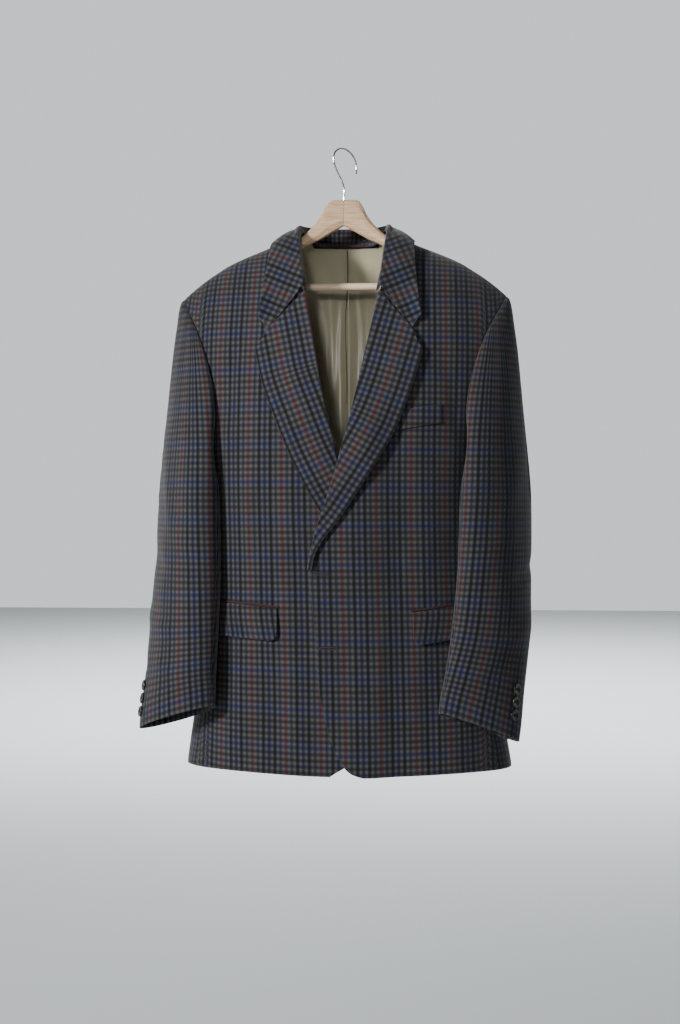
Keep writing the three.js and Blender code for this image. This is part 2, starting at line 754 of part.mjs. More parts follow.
// A lapel lies folded back on its front, from the fold out to its free edge.
function lapelGrid(side, out) {
  const edge = side > 0 ? edges.left : edges.right;
  const rim = path(side > 0 ? LAPEL_LEFT : LAPEL_RIGHT, ["x", "z"]);
  const tip = { x: rim(0)[0], z: rim(0)[1] };
  const rows = [0, 0.07, 0.15, 0.23, 0.32, 0.41, 0.5, 0.59, 0.68, 0.77, 0.86, 0.94, 1];
  const cols = [0, 0.015, 0.06, 0.17, 0.31, 0.45, 0.6, NOTCH_SHARE, 0.88, 1];
  const low = side > 0 ? -617 : -613;
  const gorge = edge(GORGE);
  return rows.map((r) => {
    const fz = mix(GORGE - 1.5, low, r);
    const fx = edge(fz);
    const [ex, ez] = rim(r);
    return cols.map((c) => {
      const topX = c < NOTCH_SHARE ? mix(gorge, NOTCH.x, c / NOTCH_SHARE) : NOTCH.x;
      const topZ = c < NOTCH_SHARE ? mix(GORGE, NOTCH.z, c / NOTCH_SHARE) : NOTCH.z;
      const past = Math.max(0, (c - NOTCH_SHARE) / (1 - NOTCH_SHARE));
      const bendX = mix(topX, tip.x, past) - mix(gorge, tip.x, c);
      const bendZ = mix(topZ, tip.z, past) - mix(GORGE, tip.z, c) - 1.5 * (1 - past);
      const fade = (1 - r) ** 2;
      const fold = c === 0 ? -2.8 : c < 0.02 ? -2.2 : 0;
      const x = mix(fx, ex, c) + bendX * fade + fold;
      const z = mix(fz, ez, c) + bendZ * fade;
      const rise = c === 0 ? -0.2 : c < 0.02 ? 1.7 : mix(2.9, side > 0 ? 9 : 5, c * c);
      const near = mix(rise, Math.min(rise, 3.3), smooth((-440 - z) / 90) * (side > 0 ? 0.4 : 1));
      return frontAt(side, x, z, near + out);
    });
  });
}

for (const [side, name] of [
  [1, "left"],
  [-1, "right"],
]) {
  addPanel("lapel_" + name, lapelGrid(side, 0), lapelGrid(side, -CLOTH), CLOTH_LOOK);
}

// Distance of a point from the body's outer face, positive outside.
function bodyDistance(p) {
  const h = 0.05;
  const slope = ["x", "y", "z"].map((axis) => {
    const a = p.clone();
    const b = p.clone();
    a[axis] += h;
    b[axis] -= h;
    return (bodyLevel(a) - bodyLevel(b)) / (2 * h);
  });
  return bodyLevel(p) / Math.hypot(...slope);
}

function keepClear(p, distance) {
  const q = p.clone();
  for (let i = 0; i < 8; i += 1) {
    const short = distance - bodyDistance(q);
    if (short > 0) q.addScaledVector(bodyNormal(q), Math.min(short, 6));
  }
  return q;
}

// How far the collar's free edge dips at its front corner, and how high its fall arches behind.
const COLLAR_POINT_DROP = 29.3;
const COLLAR_ARCH = 5;

// The collar: a stand inside the neck, a rounded fold and a fall over the shoulders.
function collarHalf(side) {
  const half = [];
  const at = (share, keys) => new THREE.Vector3(...path(COLLAR, keys)(share));
  for (const share of steps(10)) {
    const shift = side > 0 ? 0 : FOLD_SHIFT * smooth((share - 0.5) / 0.4);
    const seam = at(share, ["sx", "sy", "sz"]);
    const fold = at(share, ["fx", "fy", "fz"]);
    seam.x -= shift;
    fold.x -= shift;
    const edge = at(share, ["ex", "ey", "ez"]);
    const outward = edge.clone().sub(fold);
    outward.z = 0;
    outward.normalize();
    const top = (away, up) =>
      fold.clone().addScaledVector(outward, away).add(new THREE.Vector3(0, 0, up));
    const row = [];
    for (const t of [0, 0.4]) row.push(seam.clone().lerp(top(0, -2), t));
    row.push(top(0, -2), top(0.9, 0.9), top(3.2, 2), top(5.6, 1));
    const bend = smooth((share - 0.72) / 0.28);
    const start = top(6.4, -1);
    for (const t of [0.06, 0.2, 0.38, 0.57, NOTCH_SHARE, 0.88, 1]) {
      const p = start.clone().lerp(edge, t);
      const reach = t < NOTCH_SHARE ? t / NOTCH_SHARE : (1 - t) / (1 - NOTCH_SHARE);
      p.z -= COLLAR_POINT_DROP * bend * bend * reach;
      p.z += COLLAR_ARCH * Math.sin(Math.PI * t) * (1 - bend);
      row.push(keepClear(p, 1.2 + CLOTH + 2.2 * t * (1 - 0.4 * bend)));
    }
    half.push(row);
  }
  return half;
}

function collarGrid() {
  const right = collarHalf(-1).slice(1);
  const mirror = right.map((row) => row.map((p) => new THREE.Vector3(-p.x, p.y, p.z)));
  return [...mirror.reverse(), ...collarHalf(1)];
}
const collarOuter = collarGrid();
addPanel("collar", collarOuter, moved(collarOuter, gridNormals(collarOuter), CLOTH), CLOTH_LOOK);

// How far the faces of the laid pieces stand off the front, and the jet's place over its flap.
const LAID_SLOPE = 0.8;
const FLAP_FACES = { outer: 2.4, inner: 0.7 };
const WELT_FACES = { outer: 2.0, inner: 0.5 };
const JET = { past: 2, rise: 4.2, drop: 3.6, outer: 1.9, inner: 0.5 };

// A piece laid on a front between two ends, hanging down from a sloping top line.
function laidGrid(side, row, out, cols, rowsDown) {
  return rowsDown.map((down) =>
    cols.map((c) => {
      const x = mix(row.inner, row.outer, c);
      const near = row.round ? clamp(1 - (x - row.inner) / row.round, 0, 1) : 0;
      const round = near ? row.round * (1 - Math.sqrt(1 - near ** 2)) : 0;
      const top = mix(row.topIn, row.topOut, c);
      return frontAt(side, x, top - down * (row.drop - round), out + LAID_SLOPE * down);
    }),
  );
}

for (const [side, name] of [
  [1, "left"],
  [-1, "right"],
]) {
  const row = FLAPS[name];
  const cols = [0, 0.02, 0.05, 0.09, 0.14, 0.3, 0.46, 0.62, 0.78, 0.9, 1];
  const down = [0, 0.2, 0.5, 0.8, 1];
  addPanel(
    "flap_" + name,
    laidGrid(side, row, FLAP_FACES.outer, cols, down),
    laidGrid(side, row, FLAP_FACES.inner, cols, down),
    CLOTH_LOOK,
  );
  const jet = {
    inner: row.inner - JET.past,
    outer: row.outer,
    topIn: row.topIn + JET.rise,
    topOut: row.topOut + JET.rise,
    drop: JET.drop,
  };
  addPanel(
    "jet_" + name,
    laidGrid(side, jet, JET.outer, cols, [0, 1]),
    laidGrid(side, jet, JET.inner, cols, [0, 1]),
    PIPING_LOOK,
  );
}
addPanel(
  "breast_welt",
  laidGrid(1, WELT, WELT_FACES.outer, steps(6), [0, 0.5, 1]),
  laidGrid(1, WELT, WELT_FACES.inner, steps(6), [0, 0.5, 1]),
  CLOTH_LOOK,
);

// Locker loop at the back of the neck, just under the collar seam.
const LOOP = { half: 26, under: 4, height: 3.5, near: 3, far: 1.9 };
function loopGrid(out) {
  return [0, 1].map((down) =>
    steps(8).map((c) => {
      const x = mix(-LOOP.half, LOOP.half, c);
      const z = NECK_BACK - LOOP.under - LOOP.height * down;
      const p = bodyAt(1, angleAt(x, z, true), z);
      return p.addScaledVector(bodyNormal(p), out);
    }),
  );
}
const loopBase = -LINING_INSET - LINING;
addPanel("locker_loop", loopGrid(loopBase - LOOP.far), loopGrid(loopBase - LOOP.near), LINING_LOOK);

// A button: a dished disc with four holes, lying across a given direction.
function button(radius, thick) {
  const outline = [
    [0, 0],
    [radius * 0.9, 0],
    [radius, thick * 0.35],
    [radius, thick * 0.8],
    [radius * 0.86, thick],
    [radius * 0.68, thick * 0.72],
    [0, thick * 0.62],
  ];
  let made = Manifold.revolve([outline], 16);
  for (const [sx, sy] of [
    [1, 1],
    [1, -1],
    [-1, 1],
    [-1, -1],
  ]) {
    const hole = Manifold.cylinder(thick * 3, radius * 0.1, radius * 0.1, 5);
    made = made.subtract(hole.translate([sx * radius * 0.22, sy * radius * 0.22, -thick]));
  }
  return toGeometry(made);
}

function place(geometry, at, normal) {
  const turn = new THREE.Quaternion().setFromUnitVectors(new THREE.Vector3(0, 0, 1), normal);
  geometry.applyQuaternion(turn);
  geometry.translate(at.x, at.y, at.z);
  return geometry;
}

FRONT_BUTTON.levels.forEach((z, i) => {
  const p = frontAt(-1, FRONT_BUTTON.x, z, 0.5);
  const geometry = place(button(FRONT_BUTTON.radius, FRONT_BUTTON.thick), p, bodyNormal(p));
  add("front_button_" + (i + 1), geometry, BUTTON_LOOK);
});

// Cuff buttons stand in a row beside the back seam of each top sleeve.
for (const [side, name] of [
  [1, "left"],
  [-1, "right"],
]) {
  CUFF_BUTTON.levels.forEach((z, i) => {
    const turn = CUFF_BUTTON.turns[name];
    const p = sleeveSection(side, turn, z);
    const along = sleeveSection(side, turn, z - 4).sub(sleeveSection(side, turn, z + 4));
    const across = sleeveSection(side, turn + 0.1, z).sub(sleeveSection(side, turn - 0.1, z));
    const normal = new THREE.Vector3().crossVectors(across, along).normalize();
    if (normal.x * side < 0) normal.negate();
    const at = p.clone().addScaledVector(normal, CUFF_BUTTON.lift);
    const geometry = place(button(CUFF_BUTTON.radius, CUFF_BUTTON.thick), at, normal);
    add("cuff_button_" + name + "_" + (i + 1), geometry, BUTTON_LOOK);
  });
}

// One hanger arm: rounded sections from the centre to the shoulder end.
function armGeometry(side) {
  const curves = ["top", "bottom", "depth", "y"].map((key) => column(ARM, "x", key));
  const places = [0.2, 12, 18, 23, 28, 31, 34, 41, 49, 56, 64, 77, 90, 105, 120, 150, 180];
  places.push(195, 207, 215, 222);
  const rings = places.map((x) => {
    const [top, bottom, depth, y] = curves.map((curve) => curve(x));
    return Array.from({ length: 12 }, (_, i) => {
      const a = (2 * Math.PI * i) / 12;
      const s = Math.sin(a);
      const c = Math.cos(a);
      const k = (Math.abs(s) ** 2.6 + Math.abs(c) ** 2.6) ** (-1 / 2.6);
      return new THREE.Vector3(
        side * x,
        y + (depth / 2) * k * s,
        (top + bottom) / 2 + ((top - bottom) / 2) * k * c,
      );
    });
  });
  const arm = toSolid(tube(rings));
  const wide = BAR.radius + 0.35;
  const bore = Manifold.cylinder(2 * BAR.reach + 1.4, wide, wide, 24, true);
  const hole = Manifold.cylinder(30, WIRE + 0.35, WIRE + 0.35, 16);
  return toGeometry(
    arm
      .subtract(bore.rotate([0, 90, 0]).translate([0, BAR.y, BAR.z]))
      .subtract(hole.translate([0, 0, -93])),
  );
}
add("hanger_arm_left", armGeometry(1), WOOD_LOOK);
add("hanger_arm_right", armGeometry(-1), WOOD_LOOK);
add(
  "trouser_bar",
  toGeometry(
    Manifold.cylinder(2 * BAR.reach, BAR.radius, BAR.radius, 24, true)
      .rotate([0, 90, 0])
      .translate([0, BAR.y, BAR.z]),
  ),
  WOOD_LOOK,
);

// The hook's wire, swept along its line with round sections.
function hookGeometry() {
  const line = path(HOOK_LINE, ["s", "z"]);
  const wireAt = (share) => {
    const [s, z] = line(clamp(share, 0, 1));
    return new THREE.Vector3(s * Math.cos(HOOK_TURN), s * Math.sin(-HOOK_TURN), z);
  };
  const across = new THREE.Vector3(Math.sin(HOOK_TURN), Math.cos(HOOK_TURN), 0);
  const rings = steps(44).map((share) => {
    const p = wireAt(share);
    const ahead = wireAt(share + 0.004).sub(wireAt(share - 0.004)).normalize();
    const up = new THREE.Vector3().crossVectors(across, ahead).normalize();
    return Array.from({ length: 8 }, (_, i) => {
      const a = (2 * Math.PI * i) / 8;
      return p
        .clone()
        .addScaledVector(across, WIRE * Math.cos(a))
        .addScaledVector(up, WIRE * Math.sin(a));
    });
  });
  return tube(rings);
}
add("hook", hookGeometry(), WIRE_LOOK);

export default coat;
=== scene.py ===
import math

import bpy
import numpy as np
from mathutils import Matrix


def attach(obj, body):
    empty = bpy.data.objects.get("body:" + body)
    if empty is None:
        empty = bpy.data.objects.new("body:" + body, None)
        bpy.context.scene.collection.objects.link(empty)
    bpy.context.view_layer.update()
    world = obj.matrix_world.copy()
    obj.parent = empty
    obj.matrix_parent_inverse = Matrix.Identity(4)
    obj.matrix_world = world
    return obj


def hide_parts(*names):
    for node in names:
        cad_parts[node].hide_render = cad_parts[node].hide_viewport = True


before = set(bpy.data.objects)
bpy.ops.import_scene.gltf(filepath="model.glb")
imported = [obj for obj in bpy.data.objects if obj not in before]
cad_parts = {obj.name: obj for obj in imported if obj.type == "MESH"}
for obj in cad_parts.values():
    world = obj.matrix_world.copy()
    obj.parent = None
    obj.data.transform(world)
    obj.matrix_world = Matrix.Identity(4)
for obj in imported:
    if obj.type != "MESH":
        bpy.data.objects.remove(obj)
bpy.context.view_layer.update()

# All garment sizes below are in millimetres, in the frame's own axes.
MM = 0.001

# Cloth thickness and the room between layers.
CLOTH = 1.6
EDGE_ROUND = 1.3
OVERLAP_LIFT = 8.5
HEM_RISE = 5.0
SEAM_ALLOWANCE = 6.0
FACING_WIDE = 95.0
HEM_TURN = 35.0
CUFF_TURN = 38.0
ARMHOLE_TURN = 14.0
NECK_TURN = 40.0
SEAM_NEAR = 20.0
SLEEVE_CLEARANCE = 6.0
LINING_INSET = 3.0

# Levels of the garment and the shape of its rings.
HEM = -911.0
CHEST = -455.0
ARMHOLE_DIP = 12.0
NECK_X = 66.0
SHOULDER_X = 239.0
NECK_BACK = -131.0
RIDGE_FRONT = 320.0
RIDGE_BACK = 200.0
ROUNDNESS = 2.3
SEAM_FRONT = math.radians(62)
SEAM_BACK = math.radians(112)
SLEEVE_JOIN = -520.0

# The check: repeat of the warp and the weft stripes.
WARP_REPEAT = 50.4
WEFT_REPEAT = 54.0


def table(columns, *rows):
    """A table with named columns, as a dict of arrays."""
    return {name: np.array(values, float) for name, values in zip(columns.split(), zip(*rows))}


RINGS = table(
    "z w front back shift",
    (-920, 241, 106, 87, 7),
    (-820, 226, 106, 84, 6),
    (-720, 212, 105, 81, 4),
    (-620, 204, 107, 80, 2),
    (-520, 203, 111, 84, 0),
    (-450, 208, 112, 88, 0),
    (-380, 219, 111, 91, 0),
    (-300, 239, 107, 92, 0),
    (-230, 256, 102, 91, 0),
    (-90, 258, 98, 90, 0),
)
SHOULDER = table(
    "x z",
    (0, -100), (20, -102.5), (45, -113), (66, -124), (83, -132), (100, -140), (118, -147.5),
    (136, -154.5), (154, -162), (172, -170.5), (189, -181), (207, -193), (225, -207),
    (245, -225),
)
EDGE_LEFT = table(
    "z x",
    (-911, 28.6), (-906, 14), (-897, 3.4), (-885, -4), (-864, -13.5), (-843, -20),
    (-815, -26), (-787, -31), (-716, -35), (-665, -38.5), (-618, -41.5), (-573, -31.5),
    (-540, -21), (-520, -14), (-489, -3.5), (-453, 6.2), (-420, 15.2), (-392, 22),
    (-328, 36), (-263, 50), (-207, 59.5), (-147, 64.5), (-124, 66),
)
EDGE_RIGHT = table(
    "z x",
    (-911, 18), (-906, 11), (-899, -1), (-890, -12), (-870, -25), (-840, -33), (-787, -36),
    (-700, -32), (-616, -28), (-570, -21), (-520, -10), (-468, 1), (-420, 11), (-392, 18.5),
    (-328, 31.5), (-263, 43.5), (-207, 54), (-147, 63), (-124, 66),
)
ARMHOLE_FRONT = table(
    "z x",
    (-455, 189.5), (-430, 183), (-385, 180), (-330, 190), (-280, 208), (-245, 226),
    (-219.5, 239),
)
ARMHOLE_BACK = table(
    "z x",
    (-455, 197), (-410, 195), (-360, 198), (-310, 208), (-262, 224), (-219.5, 239),
)
SLEEVE_SEAM_FRONT = -0.68
SLEEVE_SEAM_BACK = 2.98
SLEEVE_SEAM_SHIFT = 0.85
SLEEVE_COLUMNS = "z cx half lean cy depth out rear"
SLEEVE_LEFT = table(
    SLEEVE_COLUMNS,
    (-841, 199, 57, -30, -86, 34, -0.3, -0.25),
    (-820, 201.5, 57, -30, -83, 37, -0.3, -0.25),
    (-780, 207, 56, -30, -73, 45, -0.2, -0.15),
    (-710, 216, 56, -30, -55, 55, -0.1, 0),
    (-627, 221.5, 54, -30, -38, 64, 0, 0),
    (-520, 223.5, 53, -30, -24, 74, 0, 0),
    (-440, 223, 49, -28, -18, 78, 0, 0),
)
SLEEVE_RIGHT = table(
    SLEEVE_COLUMNS,
    (-833, 236, 58.5, -30, -76, 35, -0.24, -0.25),
    (-812, 235.5, 58.5, -30, -73, 38, -0.24, -0.25),
    (-780, 234, 57, -30, -66, 46, -0.16, -0.15),
    (-710, 231, 56, -30, -52, 55, -0.08, 0),
    (-627, 228.5, 55.5, -30, -36, 64, 0, 0),
    (-520, 226.5, 53.5, -30, -24, 74, 0, 0),
    (-440, 224, 50, -28, -18, 78, 0, 0),
)
LAPEL_LEFT = table(
    "x z",
    (118, -309), (107, -348), (93, -390), (77, -428), (46, -481), (4.5, -544), (-21, -576),
    (-33, -598), (-37, -616),
)
LAPEL_RIGHT = table(
    "x z",
    (119, -306), (109, -349), (98, -380), (90, -400), (67.5, -455), (45, -500), (25, -535),
    (5, -568), (-13, -595), (-24, -612),
)
GORGE = -221.0
NOTCH = (102.0, -274.0)
NOTCH_SHARE = 0.74
FOLD_SHIFT = 5.0
COLLAR = table(
    "sx sy sz fx fy fz ex ey ez",
    (0, 44, -138.5, 0, 55, -109, 0, 74, -158),
    (24, 39, -138, 25, 51.5, -109.5, 34, 72, -158),
    (45, 25, -137, 45, 39, -110, 68, 60, -156),
    (58, 15, -120.5, 59, 19, -111, 94, 33, -146),
    (62, -4, -125, 64, -2, -113, 105, 0, -137.5),
    (62, -20, -136, 64.5, -20, -121, 106, -32, -146),
    (60.5, -38, -152, 63.5, -40, -139, 108, -55, -176),
    (57.5, -58, -184, 60.5, -61, -170, 112, -72, -217),
    (51.5, -75, -219.5, 56, -79, -215, 117, -82, -254),
)
FLAPS = {
    1: dict(inner=102, outer=186, top_in=-678, top_out=-666, drop=47, round=12),
    -1: dict(inner=90, outer=186, top_in=-673, top_out=-665, drop=47, round=12),
}
WELT = dict(inner=60, outer=145, top_in=-397, top_out=-383.5, drop=27, round=0)
SIDES = {1: "left", -1: "right"}


def mix(a, b, t):
    return a + (b - a) * t


def smooth(t):
    t = np.clip(t, 0, 1)
    return t * t * (3 - 2 * t)


def cubic(t, start, end, leave, arrive):
    """A curve from start to end that leaves and arrives with given slopes."""
    t2, t3 = t * t, t * t * t
    return (
        (2 * t3 - 3 * t2 + 1) * start
        + (t3 - 2 * t2 + t) * leave
        + (3 * t2 - 2 * t3) * end
        + (t3 - t2) * arrive
    )


def column(rows, key, value):
    """A smooth curve through the rows of a table, by one of its columns."""
    order = np.argsort(rows[key])
    k, v = rows[key][order], rows[value][order]
    before = np.maximum(np.arange(len(k)) - 1, 0)
    after = np.minimum(np.arange(len(k)) + 1, len(k) - 1)
    slope = (v[after] - v[before]) / (k[after] - k[before])

    def curve(at):
        at = np.asarray(at, float)
        i = np.clip(np.searchsorted(k, at, side="left") - 1, 0, len(k) - 2)
        span = k[i + 1] - k[i]
        t = np.clip((at - k[i]) / span, 0, 1)
        return cubic(t, v[i], v[i + 1], span * slope[i], span * slope[i + 1])

    return curve


def path(rows, keys):
    """A smooth curve through several columns of a table, by the share of its length."""
    points = np.stack([rows[key] for key in keys], axis=1)
    gaps = np.linalg.norm(np.diff(points, axis=0), axis=1)
    along = np.concatenate([[0], np.cumsum(gaps)])
    marked = dict(rows, along=along)
    curves = [column(marked, "along", key) for key in keys]
    return lambda share: np.stack([c(np.asarray(share) * along[-1]) for c in curves], axis=-1)


half_width = column(RINGS, "z", "w")
front_depth = column(RINGS, "z", "front")
back_depth = column(RINGS, "z", "back")
side_shift = column(RINGS, "z", "shift")
shoulder_height = column(SHOULDER, "x", "z")
armhole_front = column(ARMHOLE_FRONT, "z", "x")
armhole_back = column(ARMHOLE_BACK, "z", "x")
EDGES = {1: column(EDGE_LEFT, "z", "x"), -1: column(EDGE_RIGHT, "z", "x")}


def point(x, y, z):
    return np.stack(np.broadcast_arrays(x, y, z), axis=-1).astype(float)


def opening2(drop, reach):
    """How far the cloth has opened below the shoulder line, squared."""
    rest = 1 - np.clip(drop, 0, reach) / reach
    return 1 - rest * rest


def body_at(side, angle, z):
    """The body's outer face at an angle from the front centre and a level."""
    s, c = np.sin(angle), np.cos(angle)
    k = (np.abs(s) ** ROUNDNESS + np.abs(c) ** ROUNDNESS) ** (-1 / ROUNDNESS)
    x = half_width(z) * k * s
    drop = shoulder_height(np.abs(x)) - z
    front = c > 0
    depth = np.where(front, front_depth(z), back_depth(z))
    opened = np.sqrt(opening2(drop, np.where(front, RIDGE_FRONT, RIDGE_BACK)))
    return point(side * x + side_shift(z), -depth * k * c * opened, z)


def angle_at(x, z, back):
    s = np.clip(x / half_width(z), -1, 1)
    c = (1 - np.abs(s) ** ROUNDNESS) ** (1 / ROUNDNESS)
    return np.arctan2(s, -c if back else c)


def body_level(p):
    """The body as a level set, negative inside."""
    z = p[..., 2]
    x = np.abs(p[..., 0] - side_shift(z))
    front = p[..., 1] < 0
    depth = np.where(front, front_depth(z), back_depth(z))
    drop = shoulder_height(x) - z
    reach = np.where(front, RIDGE_FRONT, RIDGE_BACK)
    across = np.maximum(0, 1 - (x / half_width(z)) ** ROUNDNESS) ** (2 / ROUNDNESS)
    opened = np.where(drop < 0, 2 * drop / RIDGE_FRONT, opening2(drop, reach))
    return (p[..., 1] / depth) ** 2 - opened * across


def body_gradient(p):
    step = 0.05
    steps = np.eye(3) * step
    return np.stack([body_level(p + d) - body_level(p - d) for d in steps], axis=-1) / (2 * step)


def unit(v):
    return v / np.maximum(np.linalg.norm(v, axis=-1, keepdims=True), 1e-12)


def body_normal(p):
    return unit(body_gradient(p))


def body_distance(p):
    return body_level(p) / np.linalg.norm(body_gradient(p), axis=-1)


def keep_clear(p, distance):
    """Moves points out of the body until they stand off its outer face."""
    for _ in range(8):
        short = np.clip(distance - body_distance(p), 0, 6)
        p = p + body_normal(p) * short[..., None]
    return p


def push_out(p, clearance):
    z = p[..., 2]
    x = p[..., 0] - side_shift(z)
    depth = np.where(p[..., 1] < 0, front_depth(z), back_depth(z))
    a = np.abs(x) / (half_width(z) + clearance)
    b = np.abs(p[..., 1]) / (depth + clearance)
    inside = a**ROUNDNESS + b**ROUNDNESS
    scale = np.where(inside < 1, np.maximum(inside, 1e-6) ** (-1 / ROUNDNESS), 1)
    return point(x * scale + side_shift(z), p[..., 1] * scale, z)


def overlap_lift(x, z):
    """How far the left front stands off where it passes over the right one."""
    return OVERLAP_LIFT * smooth((85 - x) / 50) * smooth((-330 - z) / 110)


def hem_rise(x, z):
    """How much higher than the front centre the hem hangs towards the sides."""
    return HEM_RISE * smooth(np.abs(x) / 215) * smooth((-700 - z) / 210)


def front_at(side, x, z, out=0.0):
    p = body_at(side, angle_at(x, z, False), z)
    lift = overlap_lift(x, z) if side > 0 else 0.0
    return p + body_normal(p) * np.asarray(lift + out)[..., None]


# Materials

def principled(name, color, roughness, **inputs):
    m = bpy.data.materials.new(name)
    m.use_nodes = True
    shader = m.node_tree.nodes["Principled BSDF"]
    shader.inputs["Base Color"].default_value = (*color, 1)
    shader.inputs["Roughness"].default_value = roughness
    for key, value in inputs.items():
        shader.inputs[key.replace("_", " ")].default_value = value
    return m


class Graph:
    """A short way to add shader nodes to a material or to the world."""

    def __init__(self, owner):
        self.tree = owner.node_tree
        self.shader = self.tree.nodes.get("Principled BSDF")

    def node(self, kind, **values):
        n = self.tree.nodes.new("ShaderNode" + kind)
        for key, value in values.items():
            setattr(n, key, value)
        return n

    def put(self, socket, value):
        if isinstance(value, bpy.types.NodeSocket):
            self.tree.links.new(value, socket)
        else:
            socket.default_value = value

    def math(self, operation, *values):
        n = self.node("Math", operation=operation)
        for i, value in enumerate(values):
            self.put(n.inputs[i], value)
        return n.outputs[0]

    def noise(self, vector, scale, detail=2.0):
        n = self.node("TexNoise")
        self.put(n.inputs["Vector"], vector)
        n.inputs["Scale"].default_value = scale
        n.inputs["Detail"].default_value = detail
        return n.outputs["Fac"]

    def ramp(self, value, stops):
        n = self.node("ValToRGB")
        self.put(n.inputs[0], value)
        ramp = n.color_ramp
        while len(ramp.elements) < len(stops):
            ramp.elements.new(0.5)
        for element, (place, color) in zip(ramp.elements, stops):
            element.position = place
            element.color = (*color, 1)
        return n.outputs[0]

    def mix(self, factor, a, b, blend="MIX"):
        n = self.node("Mix", data_type="RGBA", blend_type=blend)
        self.put(n.inputs[0], factor)
        self.put(n.inputs[6], a)
        self.put(n.inputs[7], b)
        return n.outputs[2]

    def bump(self, height, strength, distance):
        n = self.node("Bump")
        self.put(n.inputs["Height"], height)
        n.inputs["Strength"].default_value = strength
        n.inputs["Distance"].default_value = distance
        self.tree.links.new(n.outputs[0], self.shader.inputs["Normal"])


# The ground, its tint in each stripe, and the evenly spaced stripes of one repeat, with each
# one's half width as a share of it.
GROUND = (0.078, 0.0785, 0.079)
BLACK = (0.17, 0.17, 0.185)
NAVY = (0.24, 0.28, 0.52)
FAINT = (0.36, 0.38, 0.42)
RUST = (0.95, 0.4, 0.35)
WEFT_BLUE = (0.3, 0.38, 0.9)
WEFT_NAVY = (0.33, 0.35, 0.56)
WEFT_BROWN = (0.36, 0.34, 0.4)
WARP = (
    (0.047, RUST),
    (0.042, FAINT),
    (0.049, BLACK),
    (0.047, NAVY),
    (0.049, BLACK),
    (0.042, FAINT),
)
WEFT = (
    (0.049, WEFT_BLUE),
    (0.046, WEFT_NAVY),
    (0.046, WEFT_BROWN),
    (0.046, WEFT_NAVY),
    (0.046, WEFT_BROWN),
    (0.046, WEFT_NAVY),
)

# How far a stripe's edge frays, in metres, and the tones of the yarns and of the whole cloth.
FRAY = 0.0011
YARN_TONES = ((0.3, (0.72, 0.72, 0.72)), (0.7, (1.28, 1.26, 1.24)))
CLOTH_TONES = ((0.3, (0.93, 0.93, 0.93)), (0.7, (1.07, 1.07, 1.07)))


def stripes(rows, soft=0.03):
    """Ramp stops of the stripes over one repeat, starting half a pitch before the first."""
    plain = (1.0, 1.0, 1.0)
    stops = []
    for k, (half, tint) in enumerate(rows):
        middle = k / 6 + 1 / 12
        stops += [
            (middle - half - soft, plain),
            (middle - half + soft, tint),
            (middle + half - soft, tint),
            (middle + half + soft, plain),
        ]
    return stops


def wool_material():
    sheen = dict(Sheen_Weight=0.25, Sheen_Roughness=0.45)
    m = principled("wool_check", GROUND, 0.92, Specular_IOR_Level=0.18, **sheen)
    g = Graph(m)
    uv = g.node("UVMap", uv_map="cloth").outputs[0]
    fray = g.math("SUBTRACT", g.noise(uv, scale=1900.0, detail=1.0), 0.5)
    wobble = g.math("MULTIPLY", fray, FRAY)
    parts = g.node("SeparateXYZ")
    g.put(parts.inputs[0], uv)
    ramps = []
    for axis, repeat, rows in ((0, WARP_REPEAT, WARP), (1, WEFT_REPEAT, WEFT)):
        place = g.math("ADD", parts.outputs[axis], wobble)
        turns = g.math("DIVIDE", place, repeat * MM)
        share = g.math("FRACT", g.math("ADD", turns, 1 / 12))
        ramps.append(g.ramp(share, stripes(rows)))
    crossed = g.mix(1.0, ramps[0], ramps[1], "MULTIPLY")
    tone = g.ramp(g.noise(uv, scale=900.0, detail=3.0), YARN_TONES)
    slow = g.ramp(g.noise(uv, scale=26.0), CLOTH_TONES)
    ground = g.mix(1.0, g.mix(1.0, (*GROUND, 1), crossed, "MULTIPLY"), tone, "MULTIPLY")
    g.put(g.shader.inputs["Base Color"], g.mix(1.0, ground, slow, "MULTIPLY"))
    twill = g.node("TexWave", wave_type="BANDS", bands_direction="DIAGONAL")
    g.put(twill.inputs["Vector"], uv)
    twill.inputs["Scale"].default_value = 190.0
    twill.inputs["Distortion"].default_value = 1.5
    ribs = g.math("MULTIPLY", twill.outputs["Fac"], 0.5)
    height = g.math("ADD", ribs, g.noise(uv, scale=1500.0))
    g.bump(height, strength=0.5, distance=0.0003)
    return m


def lining_material():
    m = principled("lining_satin", (0.4, 0.37, 0.255), 0.34, Sheen_Weight=0.25)
    g = Graph(m)
    uv = g.node("UVMap", uv_map="cloth").outputs[0]
    g.bump(g.noise(uv, scale=2500.0, detail=1.0), strength=0.15, distance=0.0001)
    return m


BEECH = ((0.50, 0.30, 0.16), (0.64, 0.43, 0.27), (0.74, 0.54, 0.37))
# Lighter beech tones for the trouser bar are painted light: they stand in for the light that falls
# on the bar where it stands forward between the lapels. The grain in them is the wood's own.
DOWEL_PAINTED_LIGHT = ((0.72, 0.52, 0.34), (0.82, 0.64, 0.45), (0.88, 0.72, 0.54))


def wood_material(name, tones):
    """Wood with its grain along the hanger, from dark, middle and light tones."""
    m = principled(name, tones[1], 0.42, Coat_Weight=0.15, Coat_Roughness=0.3)
    g = Graph(m)
    at = g.node("TexCoord").outputs["Object"]
    stretch = g.node("Mapping")
    g.put(stretch.inputs["Vector"], at)
    stretch.inputs["Scale"].default_value = (6.0, 60.0, 60.0)
    grain = g.noise(stretch.outputs[0], scale=5.0, detail=6.0)
    color = g.ramp(grain, tuple(zip((0.3, 0.55, 0.8), tones)))
    g.put(g.shader.inputs["Base Color"], color)
    g.bump(grain, strength=0.08, distance=0.0005)
    return m


